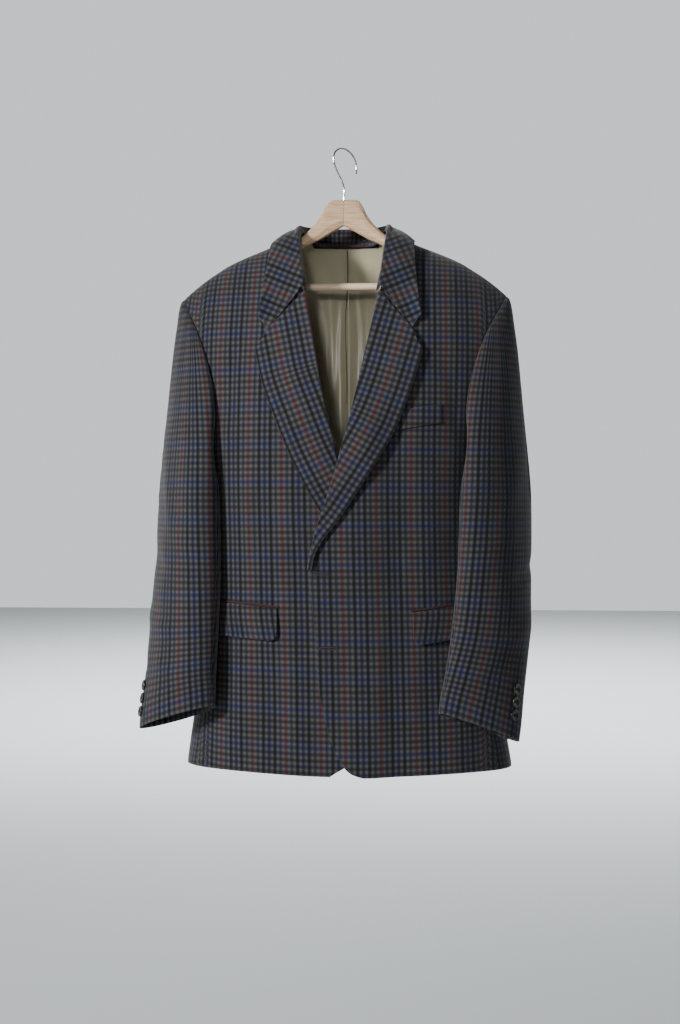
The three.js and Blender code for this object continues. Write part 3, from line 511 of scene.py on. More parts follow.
def button_material():
    m = principled("horn", (0.012, 0.01, 0.009), 0.28, Coat_Weight=0.4, Coat_Roughness=0.15)
    g = Graph(m)
    at = g.node("TexCoord").outputs["Object"]
    tones = ((0.4, (0.008, 0.007, 0.006)), (0.75, (0.05, 0.035, 0.022)))
    mottled = g.ramp(g.noise(at, scale=160.0, detail=3.0), tones)
    g.put(g.shader.inputs["Base Color"], mottled)
    return m


WOOL = wool_material()
PIPING = principled("piping", (0.034, 0.013, 0.012), 0.95)
LINING = lining_material()
WOOD = wood_material("beech", BEECH)
# The trouser bar's wood is beech in lighter tones than the arms' beech, as painted light on the
# bar.
BAR_WOOD_PAINTED_LIGHT = wood_material("beech_dowel_painted_light", DOWEL_PAINTED_LIGHT)
HORN = button_material()
STEEL = principled("steel_wire", (0.62, 0.62, 0.6), 0.22, Metallic=1.0)
# Near-black thread of the buttonholes and of the buttons' sewing, which is their own colour. The
# lining's centre seam is drawn in it too, as painted shade.
THREAD_AND_SEAM_SHADE = principled("thread_and_seam_shade", (0.02, 0.02, 0.024), 0.8)


# Meshes

def grid_normals(p):
    down = np.gradient(p, axis=0)
    across = np.gradient(p, axis=1)
    return unit(np.cross(across, down))


def lengths(p, axis):
    """Length along a grid's rows or columns, from its first line."""
    gaps = np.linalg.norm(np.diff(p, axis=axis), axis=-1)
    start = np.zeros_like(np.take(gaps, [0], axis=axis))
    return np.concatenate([start, np.cumsum(gaps, axis=axis)], axis=axis)


def make_object(name, points, faces, uvs, materials, picks=None):
    mesh = bpy.data.meshes.new(name)
    mesh.from_pydata((points * MM).tolist(), [], faces)
    layer = mesh.uv_layers.new(name="cloth")
    loops = np.zeros(len(mesh.loops), np.int32)
    mesh.loops.foreach_get("vertex_index", loops)
    layer.data.foreach_set("uv", (uvs[loops] * MM).astype(np.float32).ravel())
    for m in materials:
        mesh.materials.append(m)
    if picks is not None:
        mesh.polygons.foreach_set("material_index", picks)
    mesh.polygons.foreach_set("use_smooth", np.ones(len(mesh.polygons), bool))
    mesh.update()
    o = bpy.data.objects.new(name, mesh)
    bpy.context.collection.objects.link(o)
    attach(o, "root")
    return o


def shell(
    name, outer, uv, materials, thick=CLOTH, flip=False, rounded="nsew", relief=None, facing=None
):
    """A thin closed cloth shell from the grid of its outer face. Its inner face is lined,
    apart from where the cloth is turned in."""
    normals = grid_normals(outer) * (-1 if flip else 1)
    if relief is not None:
        outer = outer + normals * relief[..., None]
        normals = grid_normals(outer) * (-1 if flip else 1)
    across, down = lengths(outer, 1), lengths(outer, 0)
    edges = dict(w=across, e=across[:, -1:] - across, n=down, s=down[-1:] - down)
    t = np.clip(np.min([edges[k] for k in rounded], axis=0) / EDGE_ROUND, 0, 1)
    half = thick / 2 * np.sqrt(np.clip(t * (2 - t), 0.04, 1))
    middle = outer - normals * (thick / 2)
    top, bottom = middle + normals * half[..., None], middle - normals * half[..., None]
    points = np.concatenate([top.reshape(-1, 3), bottom.reshape(-1, 3)])
    grid = np.arange(t.size).reshape(t.shape)
    front = np.stack([grid[:-1, :-1], grid[1:, :-1], grid[1:, 1:], grid[:-1, 1:]], axis=-1)
    front = front.reshape(-1, 4)
    back = front[:, [0, 3, 2, 1]] + t.size
    rim = []
    for line in (grid[0], grid[:, -1], grid[-1, ::-1], grid[::-1, 0]):
        p, q = line[:-1], line[1:]
        rim.append(np.stack([p, q, q + t.size, p + t.size], axis=1))
    faces = np.concatenate([front, back, *rim])
    if flip:
        faces = faces[:, ::-1]
    picks = np.zeros(len(faces), np.int32)
    if len(materials) > 1:
        lined = np.ones(len(back), bool) if facing is None else ~facing[:-1, :-1].ravel()
        picks[len(front) : len(front) + len(back)] = lined
    uvs = np.concatenate([uv.reshape(-1, 2)] * 2)
    return make_object(name, points, faces.tolist(), uvs, materials, picks)


def piece(node, slot, outer, uv, materials, **form):
    """A cloth shell in place of the solid of the same name."""
    o = shell("cloth_" + node, outer, uv, materials, **form)
    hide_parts(node)
    return o


def ringed(name, rings, material, closed=False):
    """A body through rings of points, with a face over each end unless they run in a loop."""
    rows, cols = rings.shape[:2]
    faces = []
    for i in range(rows if closed else rows - 1):
        for j in range(cols):
            k, m = (i + 1) % rows, (j + 1) % cols
            faces.append((i * cols + j, i * cols + m, k * cols + m, k * cols + j))
    if not closed:
        faces.append(tuple(range(cols))[::-1])
        faces.append(tuple((rows - 1) * cols + j for j in range(cols)))
    return make_object(name, rings.reshape(-1, 3), faces, np.zeros((rows * cols, 2)), [material])


def bead(name, line, radius, closed=False, sides=8):
    """A round thread along a line of points, in the near-black thread material. Along the lining's
    centre seam it is painted shade.
    """
    if closed:
        tangent = unit(np.roll(line, -1, axis=0) - np.roll(line, 1, axis=0))
    else:
        tangent = unit(np.gradient(line, axis=0))
    aside = unit(np.cross(tangent, np.array([0.31, 0.9, 0.27])))
    other = np.cross(tangent, aside)
    turn = np.arange(sides) * 2 * np.pi / sides
    ring = aside[:, None] * np.cos(turn)[:, None] + other[:, None] * np.sin(turn)[:, None]
    ringed(name, line[:, None] + radius * ring, THREAD_AND_SEAM_SHADE, closed)


def spread(count, fine=(0.0, 0.35, 0.9, 1.6, 3.0), width=150.0):
    """Shares from 0 to 1, close together near both ends as a rounded edge needs."""
    ends = np.array(fine) / width
    inner = np.linspace(ends[-1], 1 - ends[-1], count)
    return np.concatenate([ends[:-1], inner, 1 - ends[:-1][::-1]])


def level_share(z, x):
    """Length of the cloth below a point, along the front from the chest level."""
    shares = np.linspace(0, 1, 25)
    zs = mix(CHEST, z[..., None], shares)
    ys = body_at(1, angle_at(x[..., None], zs, False), zs)[..., 1]
    gaps = np.hypot(np.diff(ys, axis=-1), np.diff(zs, axis=-1))
    return CHEST + np.sign(z - CHEST) * gaps.sum(axis=-1)


def edge_at(edge, share):
    """The place of an edge at a share of the way from the shoulder line to the chest."""
    share = np.asarray(share, float)
    x = edge(mix(-200, CHEST, share))
    z = np.full(share.shape, CHEST)
    for _ in range(40):
        top = shoulder_height(np.abs(x))
        z = mix(z, mix(top, CHEST, share), 0.6)
        x = edge(z)
    return x


def upper_shares(count):
    """Shares from the shoulder line to the chest, close together near the line."""
    return np.linspace(0, 1, count) ** 1.9


# Soft creases: one end, other end, half width, and how high (or deep) the middle is.
CREASE = "x0 z0 x1 z1 half high"


def crease_relief(x, z, rows):
    """Sum of soft uneven troughs and ridges at places on a panel."""
    total = np.zeros(np.broadcast(x, z).shape)
    for x0, z0, x1, z1, half, high in zip(*[rows[k] for k in CREASE.split()]):
        dx, dz = x1 - x0, z1 - z0
        length = math.hypot(dx, dz)
        t = ((x - x0) * dx + (z - z0) * dz) / length**2
        off = ((x - x0) * dz - (z - z0) * dx) / length
        off = off + 0.18 * half * np.sin(t * 5.1 + x0)
        along = smooth((t + 0.12) / 0.4) * smooth((1.12 - t) / 0.4)
        width = half * (0.8 + 0.35 * np.sin(t * 3.3 + z0))
        total += high * along * np.exp(-((off / width) ** 2))
    return total


def seam_fade(p, first=True):
    """A share that is 0 at a grid's last column, and at its first one, and 1 well inside."""
    along = lengths(p, 1)
    share = smooth((along[:, -1:] - along) / SEAM_NEAR)
    return share * smooth(along / SEAM_NEAR) if first else share


def wander(x, z, seed, size):
    """A slow, small unevenness of the cloth, made of nine waves."""
    r = np.random.default_rng(seed)
    total = np.zeros(np.broadcast(x, z).shape)
    for _ in range(9):
        kx, kz = r.normal(0, 1 / 38), r.normal(0, 1 / 75)
        total += r.uniform(0.4, 1) * np.sin(kx * x + kz * z + r.uniform(0, 6.28))
    return total * size / 3.0


FRONT_CREASES = {
    1: table(
        CREASE,
        (150, -300, 168, -420, 14, -2.6),
        (130, -470, 120, -640, 16, 1.6),
        (96, -520, 84, -660, 13, -1.2),
        (60, -700, 45, -880, 15, 1.8),
        (120, -740, 128, -900, 17, -2.0),
        (160, -560, 168, -700, 14, -1.8),
        (20, -650, 4, -840, 16, -1.3),
        (95, -760, 92, -905, 14, 1.5),
    ),
    -1: table(
        CREASE,
        (150, -290, 166, -410, 13, -2.6),
        (130, -450, 126, -620, 15, 1.8),
        (64, -560, 50, -760, 16, -2.0),
        (88, -600, 80, -640, 12, 1.0),
        (36, -620, 22, -800, 14, 1.6),
        (100, -740, 98, -905, 17, -2.0),
        (142, -730, 150, -900, 16, 1.7),
        (70, -780, 60, -905, 14, 1.5),
    ),
}
BACK_CREASES = table(
    CREASE,
    (60, -260, 40, -420, 22, -2.5),
    (120, -230, 150, -400, 20, 2.4),
    (150, -420, 130, -640, 18, -2.8),
    (90, -520, 80, -760, 22, 2.2),
    (40, -620, 46, -860, 18, -2.0),
    (130, -700, 140, -905, 20, 2.2),
    (25, -300, 22, -520, 16, 1.5),
)
SLEEVE_CREASES = {
    1: table(
        CREASE,
        (-60, -600, 40, -640, 20, -2.4),
        (30, -560, 95, -600, 18, 1.8),
        (-50, -690, 60, -720, 18, 1.9),
        (-95, -640, -30, -690, 15, -1.6),
        (10, -420, 60, -560, 24, 1.6),
        (-70, -400, -50, -560, 22, -2.0),
        (0, -740, 80, -790, 18, -1.6),
    ),
    -1: table(
        CREASE,
        (-70, -590, 40, -620, 20, -2.2),
        (40, -540, 100, -600, 18, 1.6),
        (-60, -670, 60, -710, 18, 2.0),
        (-90, -720, -10, -760, 15, -1.8),
        (10, -400, 40, -560, 24, 1.6),
        (-75, -420, -55, -560, 22, -2.0),
        (20, -750, 80, -780, 16, 1.4),
    ),
}
WARP_PHASE = {1: 5.4, -1: 30.2}
WEFT_PHASE = {1: -664.0, -1: -655.0}
SLEEVE_PHASE = {1: 22.0, -1: 20.0}


# The front dart: its place on each front, its levels, half width and depth.
DART = {1: 101.0, -1: 92.0}
DART_TOP = -388.0
DART_FOOT = -668.0
DART_HALF = 1.7
DART_DEEP = 1.1


def front_panel(side):
    """One front, from its free edge or lapel fold out to the armhole and side seam."""
    edge = EDGES[side]
    cols = spread(56, width=200.0)
    upper = upper_shares(70)
    start = np.where(upper == 0, NECK_X, edge_at(edge, upper))
    end = np.where(upper == 0, SHOULDER_X, edge_at(armhole_front, upper))
    end_z = mix(shoulder_height(end), CHEST, upper)
    end = end + SEAM_ALLOWANCE * smooth((-280 - end_z) / 50) * smooth((end_z - CHEST - 3) / 25)
    x = mix(start[:, None], end[:, None], cols)
    z = mix(shoulder_height(np.abs(x)), CHEST, upper[:, None])
    lower = 1 - (1 - np.linspace(0, 1, 110)[1:]) ** 1.25
    low_z = mix(CHEST, HEM, lower)
    seam = body_at(1, SEAM_FRONT, low_z)[:, 0] - side_shift(low_z)
    x = np.vstack([x, mix(edge(low_z)[:, None], seam[:, None], cols)])
    z = np.vstack([z, np.repeat(low_z[:, None], len(cols), axis=1)])
    outer = front_at(side, x, z)
    outer[..., 2] += hem_rise(x, z)
    relief = crease_relief(x, z, FRONT_CREASES[side]) + wander(x, z, seed=3 + side, size=0.5)
    below_shoulder = shoulder_height(np.abs(x)) - z
    relief *= smooth((np.abs(x - edge(z)) + 4) / 30) * smooth(below_shoulder / 60)
    relief *= seam_fade(outer, first=False)
    along = smooth((DART_TOP - z) / 60) * smooth((z - DART_FOOT + 20) / 20)
    relief -= DART_DEEP * along * np.exp(-(((x - DART[side]) / DART_HALF) ** 2))
    u = lengths(outer, 1) + x[:, :1] - WARP_PHASE[side]
    uv = np.stack([u, level_share(z, x) - WEFT_PHASE[side]], axis=-1)
    turned = (x - edge(z) < FACING_WIDE) | (z < HEM + HEM_TURN)
    form = dict(flip=side > 0, relief=relief, facing=turned)
    o = piece("front_" + SIDES[side], "wool", outer, uv, [WOOL, LINING], **form)


def side_panel(side):
    cols = spread(26, width=100.0)
    rows = np.linspace(0, 1, 80)
    top = CHEST - ARMHOLE_DIP * np.sin(np.pi * cols)
    z = mix(top[None, :], HEM, rows[:, None])
    angle = np.repeat(mix(SEAM_FRONT, SEAM_BACK, cols)[None, :], len(rows), axis=0)
    outer = body_at(side, angle, z)
    outer[..., 2] += hem_rise(outer[..., 0] - side_shift(z), z)
    u = lengths(outer, 1) + 12
    uv = np.stack([u, z - WEFT_PHASE[side]], axis=-1)
    relief = wander(u, z, seed=21 + side, size=0.8) * seam_fade(outer)
    form = dict(flip=side > 0, relief=relief, facing=z < HEM + HEM_TURN)
    o = piece("side_" + SIDES[side], "wool", outer, uv, [WOOL, LINING], **form)


def back_places(outset, inset, cols):
    """Distances from the centre and levels of a back panel's grid."""
    upper = upper_shares(60)
    end = np.where(upper == 0, SHOULDER_X, edge_at(armhole_back, upper)) - inset
    x = mix(outset, end[:, None], cols)
    neck = np.where(x < NECK_X, np.cos(np.clip(x / NECK_X, 0, 1) * np.pi / 2) ** 0.8, 0)
    top = mix(shoulder_height(x), NECK_BACK, neck) - inset
    z = mix(top, CHEST, upper[:, None])
    low_z = mix(CHEST, HEM + inset * 6, np.linspace(0, 1, 70)[1:])
    seam = body_at(1, SEAM_BACK, low_z)[:, 0] - side_shift(low_z) - inset
    x = np.vstack([x, mix(outset, seam[:, None], cols)])
    z = np.vstack([z, np.repeat(low_z[:, None], len(cols), axis=1)])
    return x, z


# Half width and depth of the groove along the back's centre seam.
BACK_SEAM_HALF = 1.6
BACK_SEAM_DEEP = 0.8


def back_panel(side):
    cols = spread(46, width=210.0)
    x, z = back_places(0.05, 0.0, cols)
    outer = body_at(side, angle_at(x, z, True), z)
    outer[..., 2] += hem_rise(x, z)
    relief = crease_relief(x, z, BACK_CREASES) + wander(x, z, seed=33 + side, size=0.6)
    relief *= smooth((shoulder_height(x) - z) / 80) * seam_fade(outer)
    relief -= BACK_SEAM_DEEP * np.exp(-((x / BACK_SEAM_HALF) ** 2))
    u = lengths(outer, 1)
    uv = np.stack([side * u, level_share(z, x) - WEFT_PHASE[side]], axis=-1)
    turned = (z < HEM + HEM_TURN) | (z > shoulder_height(x) - NECK_TURN)
    form = dict(flip=side < 0, relief=relief, facing=turned)
    o = piece("back_" + SIDES[side], "wool", outer, uv, [WOOL, LINING], **form)


LINING_FOLDS = table(
    CREASE,
    (34, -150, 26, -330, 11, 4.0),
    (12, -190, 14, -420, 9, 3.4),
    (52, -180, 40, -440, 13, 3.6),
    (26, -330, 28, -620, 11, 3.6),
    (64, -300, 58, -640, 14, 3.0),
    (92, -300, 82, -620, 15, 2.6),
    (122, -300, 112, -700, 15, 2.4),
    (20, -560, 24, -860, 13, 2.8),
    (150, -400, 140, -800, 17, 2.2),
)

# The lining under the neck seam, and how the left side's folds become the right side's.
LINING_TOP = -137.0
FOLD_STRETCH = {1: 1.0, -1: 1.12}
FOLD_DROP = {1: 0.0, -1: 24.0}


def back_lining(side):
    cols = spread(60, width=210.0)
    x, z = back_places(0.3, 3.0, cols)
    over = np.maximum(0, z[:1] - mix(LINING_TOP + 0.5, 0, smooth((x[:1] - 52) / 12)))
    z = z - over * (1 - smooth((z[:1] - z) / 90))
    base = body_at(side, angle_at(x, z, True), z)
    folds = crease_relief(x * FOLD_STRETCH[side], z + FOLD_DROP[side], LINING_FOLDS)
    starting = smooth((LINING_TOP - z) / 30)
    folds = np.clip(1.5 * folds + 1.2, -0.6, 12) * starting * smooth((190 - x) / 40)
    folds -= np.exp(-((x / 1.5) ** 2)) * starting
    outer = base - body_normal(base) * (LINING_INSET + 0.9 + folds * smooth(x / 5))[..., None]
    uv = np.stack([lengths(outer, 1), z], axis=-1)
    name = "lining_back_" + SIDES[side]
    o = piece(name, "lining", outer, uv, [LINING], thick=0.8, flip=side > 0)


def lining_seam_painted_shade():
    """The lining's centre seam, which wanders a little from the middle, drawn as a near-black bead:
    the seam is real, and its dark colour is painted shade of the seam.
    """
    z = np.linspace(-139, -640, 120)
    x = -4.0 * smooth((-150 - z) / 120) + 1.2 * np.sin(z / 31)
    base = body_at(1, angle_at(np.abs(x), z, True), z)
    base[:, 0] = x
    bead("lining_centre_seam_painted_shade", base - body_normal(base) * (LINING_INSET + 2.3), 0.55)


# Sleeves

SLEEVES = {1: SLEEVE_LEFT, -1: SLEEVE_RIGHT}


def sleeve_sizes(side, level):
    """Every column of a sleeve's table at a level."""
    rows = SLEEVES[side]
    return {k: column(rows, "z", k)(level) for k in SLEEVE_COLUMNS.split()[1:]}


def sleeve_section(side, turn, z):
    at = sleeve_sizes(side, z)
    across = np.sqrt(at["half"] ** 2 - at["lean"] ** 2) * np.sin(turn) + at["lean"] * np.cos(turn)
    back = -at["depth"] * np.cos(turn)
    level = z + at["out"] * across + at["rear"] * back
    return push_out(point(side * (at["cx"] + across), at["cy"] + back, level), SLEEVE_CLEARANCE)


def seam_turn(turn, z):
    """The turn at a level of a line that starts with a given turn above."""
    full = 2 * np.pi
    around = np.where(turn < SLEEVE_SEAM_FRONT - 1e-6, turn + full, turn)
    rising = (around - SLEEVE_SEAM_FRONT) / (SLEEVE_SEAM_BACK - SLEEVE_SEAM_FRONT)
    falling = (SLEEVE_SEAM_FRONT + full - around) / (SLEEVE_SEAM_FRONT + full - SLEEVE_SEAM_BACK)
    share = np.where(around < SLEEVE_SEAM_BACK, rising, falling)
    return turn - SLEEVE_SEAM_SHIFT * share * smooth((-600 - z) / 230)


def sleeve_grain(side, p, level, lowest):
    """Length of the cloth round the sleeve from its outer line, at points on it whose turns
    start at the lowest one."""
    at = sleeve_sizes(side, level)
    c = -(p[..., 1] - at["cy"]) / at["depth"]
    reach = np.sqrt(at["half"] ** 2 - at["lean"] ** 2)
    s = (side * p[..., 0] - at["cx"] - at["lean"] * c) / reach
    turn = np.arctan2(s, c)
    turn = np.where(turn < lowest, turn + 2 * np.pi, turn)
    shares = np.linspace(0, 1, 25)
    t = np.pi / 2 + (turn[..., None] - np.pi / 2) * shares
    x = reach[..., None] * np.sin(t) + at["lean"][..., None] * np.cos(t)
    y = -at["depth"][..., None] * np.cos(t)
    gaps = np.hypot(np.diff(x, axis=-1), np.diff(y, axis=-1)).sum(axis=-1)
    return np.sign(np.pi / 2 - turn) * gaps


def armhole_loop(side):
    """Points round the armhole: down the front, under the arm and up the back."""
    shares = upper_shares(56)
    x = edge_at(armhole_front, shares)
    z = mix(shoulder_height(x), CHEST, shares)
    front = body_at(side, angle_at(x, z, False), z)
    front[0, 1] = 0
    c = np.linspace(0, 1, 22)[1:-1]
    under = body_at(side, mix(SEAM_FRONT, SEAM_BACK, c), CHEST - ARMHOLE_DIP * np.sin(np.pi * c))
    shares = shares[1:][::-1]
    x = edge_at(armhole_back, shares)
    z = mix(shoulder_height(x), CHEST, shares)
    back = body_at(side, angle_at(x, z, True), z)
    loop = np.concatenate([front, under, back])
    lift = 0.4 + 2 * smooth((-300 - loop[:, 2]) / 110)
    lift[0] = 0
    return loop + body_normal(loop) * lift[:, None]


# How strongly the sleeve head stands away from the armhole.
SLEEVE_HEAD = 62.0


def sleeve_grid(side):
    """Points of a sleeve from the armhole to the cuff, with the level that each belongs to."""
    loop = armhole_loop(side)
    closed = np.concatenate([loop, loop[:1]])
    gaps = np.linalg.norm(np.diff(closed, axis=0), axis=1)
    along = np.concatenate([[0], np.cumsum(gaps)])
    shares = np.linspace(0, 1, 141)
    starts = [np.interp(shares * along[-1], along, closed[:, k]) for k in range(3)]
    starts = np.stack(starts, axis=1)
    turn = np.pi / 2 - 2 * np.pi * shares
    turn[0] = turn[-1] + 2 * np.pi
    end = sleeve_section(side, turn, np.full(turn.shape, SLEEVE_JOIN))
    step = 20
    beyond = sleeve_section(side, turn, np.full(turn.shape, SLEEVE_JOIN - step))
    fall = (beyond - end) * ((starts[:, 2] - end[:, 2]) / step)[:, None]
    rise = np.maximum(0, np.sin(turn))
    drop = 0.35 + 0.35 * np.abs(np.sin(turn))
    leave = SLEEVE_HEAD * point(side * (0.25 + 0.5 * rise), -0.9 * np.cos(turn), -drop)
    rows, levels = [], []
    for t in np.linspace(0, 1, 42)[:-1] ** 1.25:
        p = cubic(t, starts, end, leave, fall)
        if t > 0:
            room = SLEEVE_CLEARANCE * smooth((CHEST + 6 - p[:, 2]) / 45)
            pushed = np.where((p[:, 2] < CHEST)[:, None], push_out(p, room), p)
            pushed = keep_clear(pushed, 2.4)
            p = np.where((p[:, 2] > -290)[:, None], p, pushed)
        rows.append(p)
        levels.append(p[:, 2])
    bottom = SLEEVES[side]["z"][0]
    for t in spread(64, width=340.0)[4:]:
        level = np.full(turn.shape, mix(SLEEVE_JOIN, bottom, t))
        rows.append(sleeve_section(side, seam_turn(turn, level), level))
        levels.append(level)
    return np.array(rows), np.array(levels)


def sleeve(side):
    grid, levels = sleeve_grid(side)
    name = SIDES[side]
    count = grid.shape[1] - 1
    front_seam = round(count * (np.pi / 2 - SLEEVE_SEAM_FRONT) / (2 * np.pi))
    back_seam = round(count * (np.pi / 2 + 2 * np.pi - SLEEVE_SEAM_BACK) / (2 * np.pi))
    down = lengths(grid, 0)
    rings = {"topsleeve_": np.arange(back_seam, count + front_seam + 1) % count}
    rings["undersleeve_"] = np.arange(front_seam, back_seam + 1)
    for kind, ring in rings.items():
        p, level, fall = (np.take(v, ring, axis=1) for v in (grid, levels, down))
        u = sleeve_grain(side, p, level, 1.2 if kind == "undersleeve_" else -np.pi)
        if kind == "undersleeve_":
            relief = wander(u, level, seed=51 + side, size=0.4) * smooth(-(level + 225) / 60)
        else:
            relief = crease_relief(u, level, SLEEVE_CREASES[side])
            relief += wander(u, level, seed=41 + side, size=0.5)
            relief *= smooth(fall / 40) * smooth((fall[-1:] - fall) / 30)
            relief += 1.6 * smooth(fall / 6) * smooth((46 - fall) / 40)
        uv = np.stack([u - SLEEVE_PHASE[side], level - WEFT_PHASE[side]], axis=-1)
        turned = (fall[-1:] - fall < CUFF_TURN) | (fall < ARMHOLE_TURN)
        form = dict(flip=side < 0, relief=relief, facing=turned)
        o = piece(kind + name, "wool", p, uv, [WOOL, LINING], **form)


# Lapels and collar

def rim_places(rim, x, z):
    """Distance from a lapel's free edge, and the length along it, of points on a front."""
    line = rim(np.linspace(0, 1, 120))
    above = line[0] + (line[0] - line[12]) * np.linspace(2, 0.02, 60)[:, None]
    below = line[-1] + (line[-1] - line[-12]) * np.linspace(0.02, 2, 40)[:, None]
    line = np.concatenate([above, line, below])
    along = np.concatenate([[0], np.cumsum(np.linalg.norm(np.diff(line, axis=0), axis=1))])
    a, d = line[:-1], np.diff(line, axis=0)
    rel = np.stack([x, z], axis=-1)[..., None, :] - a
    t = np.clip((rel * d).sum(-1) / (d * d).sum(-1), 0, 1)
    gap = np.linalg.norm(rel - t[..., None] * d, axis=-1)
    best = np.argmin(gap, axis=-1)[..., None]
    cross = np.take_along_axis(rel[..., 0] * d[:, 1] - rel[..., 1] * d[:, 0], best, -1)[..., 0]
    away = np.take_along_axis(gap, best, -1)[..., 0] * np.sign(cross)
    share = np.take_along_axis(t, best, -1)[..., 0]
    k = best[..., 0]
    return np.stack([away, mix(along[k], along[k + 1], share)], axis=-1)


# Each lapel: its rim, the phase of its stripes, the foot of its fold, and how high its rim stands.
# The roll at the fold has a radius and a centre height.
LAPELS = {1: LAPEL_LEFT, -1: LAPEL_RIGHT}
LAPEL_PHASE = {1: -36.0, -1: -35.0}
LAPEL_FOOT = {1: -617.0, -1: -613.0}
LAPEL_HIGH = {1: 9.0, -1: 5.0}
ROLL_RADIUS = 2.5
ROLL_CENTRE = 0.5
ROLL_COUNT = 9


def lapel(side):
    edge = EDGES[side]
    rim = path(LAPELS[side], "xz")
    tip = rim(0.0)
    gorge = float(edge(GORGE))
    r = spread(110, width=400.0)[:, None]
    roll = np.linspace(-1, 1, ROLL_COUNT) * np.pi / 2
    flat = spread(44, width=90.0)[1:]
    c = np.concatenate([np.zeros(ROLL_COUNT), flat])[None, :]
    turn = np.concatenate([roll, np.full(len(flat), np.pi / 2)])[None, :]
    on_fold = (np.arange(c.size) < ROLL_COUNT)[None, :]
    fz = mix(GORGE - 0.4, LAPEL_FOOT[side], r)
    fx = edge(fz)
    ends = rim(r[:, 0])
    ex, ez = ends[:, :1], ends[:, 1:]
    past = np.maximum(0, (c - NOTCH_SHARE) / (1 - NOTCH_SHARE))
    part = np.minimum(c / NOTCH_SHARE, 1)
    bend_x = mix(mix(gorge, NOTCH[0], part), tip[0], past) - mix(gorge, tip[0], c)
    bend_z = mix(mix(GORGE, NOTCH[1], part), tip[1], past) - mix(GORGE, tip[1], c)
    bend_z += 2.4 * (1 - c) ** 2 - 0.6 * (1 - past)
    fade = (1 - r) ** 2
    x = mix(fx, ex, c) + bend_x * fade
    z = mix(fz, ez, c) + bend_z * fade
    rise = mix(ROLL_CENTRE + ROLL_RADIUS, LAPEL_HIGH[side], c * c)
    near = mix(rise, np.minimum(rise, 3.3), smooth((-440 - z) / 90) * (0.4 if side > 0 else 1))
    near = np.where(on_fold, ROLL_CENTRE + ROLL_RADIUS * np.sin(turn), near)
    x = np.where(on_fold, x - ROLL_RADIUS * np.cos(turn), x)
    middle = smooth((-230 - z) / 90) * smooth((z + 560) / 120)
    belly = 2.2 * np.sin(np.pi * np.clip(c, 0, 1)) * middle
    outer = front_at(side, x, z, near + belly)
    uv = rim_places(rim, x, z) + np.array([LAPEL_PHASE[side], 12.0])
    name = SIDES[side]
    form = dict(thick=1.7, flip=side > 0, rounded="ens")
    o = piece("lapel_" + name, "wool", outer, uv, [WOOL], **form)


def collar_half(side, shares):
    """Lines across one half of the collar: up the stand, over the fold and down the fall."""
    seam, fold, edge = (path(COLLAR, [line + k for k in "xyz"])(shares) for line in "sfe")
    shift = 0.0 if side > 0 else FOLD_SHIFT * smooth((shares - 0.5) / 0.4)
    seam[:, 0] -= shift
    fold[:, 0] -= shift
    outward = edge - fold
    outward[:, 2] = 0
    outward = unit(outward)
    up = np.array([0, 0, 1.0])

    def top(away, high):
        return fold + outward * away + up * high

    bend = smooth((shares - 0.72) / 0.28)
    line = [mix(seam, top(0, -2), t) for t in (0.0, 0.4)]
    line += [top(0, -2), top(0.9, 0.9), top(3.2, 2.0), top(5.6, 1.0)]
    start = top(6.4, -1)
    for t in (0.06, 0.2, 0.38, 0.57, NOTCH_SHARE, 0.88, 1.0):
        p = mix(start, edge, t)
        reach = t / NOTCH_SHARE if t < NOTCH_SHARE else (1 - t) / (1 - NOTCH_SHARE)
        p[:, 2] += 5 * math.sin(math.pi * t) * (1 - bend) - 30.2 * bend * bend * reach
        line.append(keep_clear(p, 1.2 + CLOTH + 2.2 * t * (1 - 0.4 * bend)))
    return np.stack(line, axis=1)


# Rise of the collar's stripes outward at the front, the place of one of them behind, and
# where along the collar the one direction passes into the other.
COLLAR_GRAIN = 0.44
COLLAR_PHASE = 2.0
COLLAR_JOIN = 0.41
FALL_LINE = 40


def collar(loop):
    shares = np.concatenate([np.linspace(0, 0.98, 90), [0.99, 0.995, 0.998, 1.0]])
    right = collar_half(-1, shares[1:])[::-1] * np.array([-1, 1, 1])
    grid = np.concatenate([right, collar_half(1, shares)])
    controls = np.arange(grid.shape[1])
    stand, fall = np.linspace(0, 6, 25), np.linspace(6, 11.6, 30)[1:]
    fine = np.concatenate([stand, fall, [11.8, 11.93, 12.0]])
    rows = dict(k=controls.astype(float))
    smoothed = np.zeros((grid.shape[0], len(fine), 3))
    for i in range(grid.shape[0]):
        for k in range(3):
            smoothed[i, :, k] = column(dict(rows, v=grid[i, :, k]), "k", "v")(fine)
    mid = len(shares) - 1
    along = lengths(smoothed, 0)
    across = lengths(smoothed, 1)
    x, z = np.abs(smoothed[..., 0]), smoothed[..., 2]
    slope = math.atan(COLLAR_GRAIN)
    flat_u = x * math.sin(slope) - z * math.cos(slope)
    flat_v = x * math.cos(slope) + z * math.sin(slope)
    round_u = np.abs(along[:, FALL_LINE, None] - along[mid, FALL_LINE]) * np.ones_like(across)
    share = np.concatenate([shares[1:][::-1], shares])[:, None]
    front = smooth((share - 0.3) / 0.22)
    join = np.argmin(np.abs(shares - COLLAR_JOIN)) + mid
    flat_u = flat_u + round_u[join, FALL_LINE] - flat_u[join, FALL_LINE]
    u = mix(round_u, flat_u, front) * np.where(np.arange(len(share)) < mid, -1, 1)[:, None]
    v = mix(across, flat_v, front)
    uv = np.stack([u - COLLAR_PHASE, v], axis=-1)
    o = piece("collar", "wool", smoothed, uv, [WOOL], thick=1.7, flip=True)


# Pieces laid on the fronts

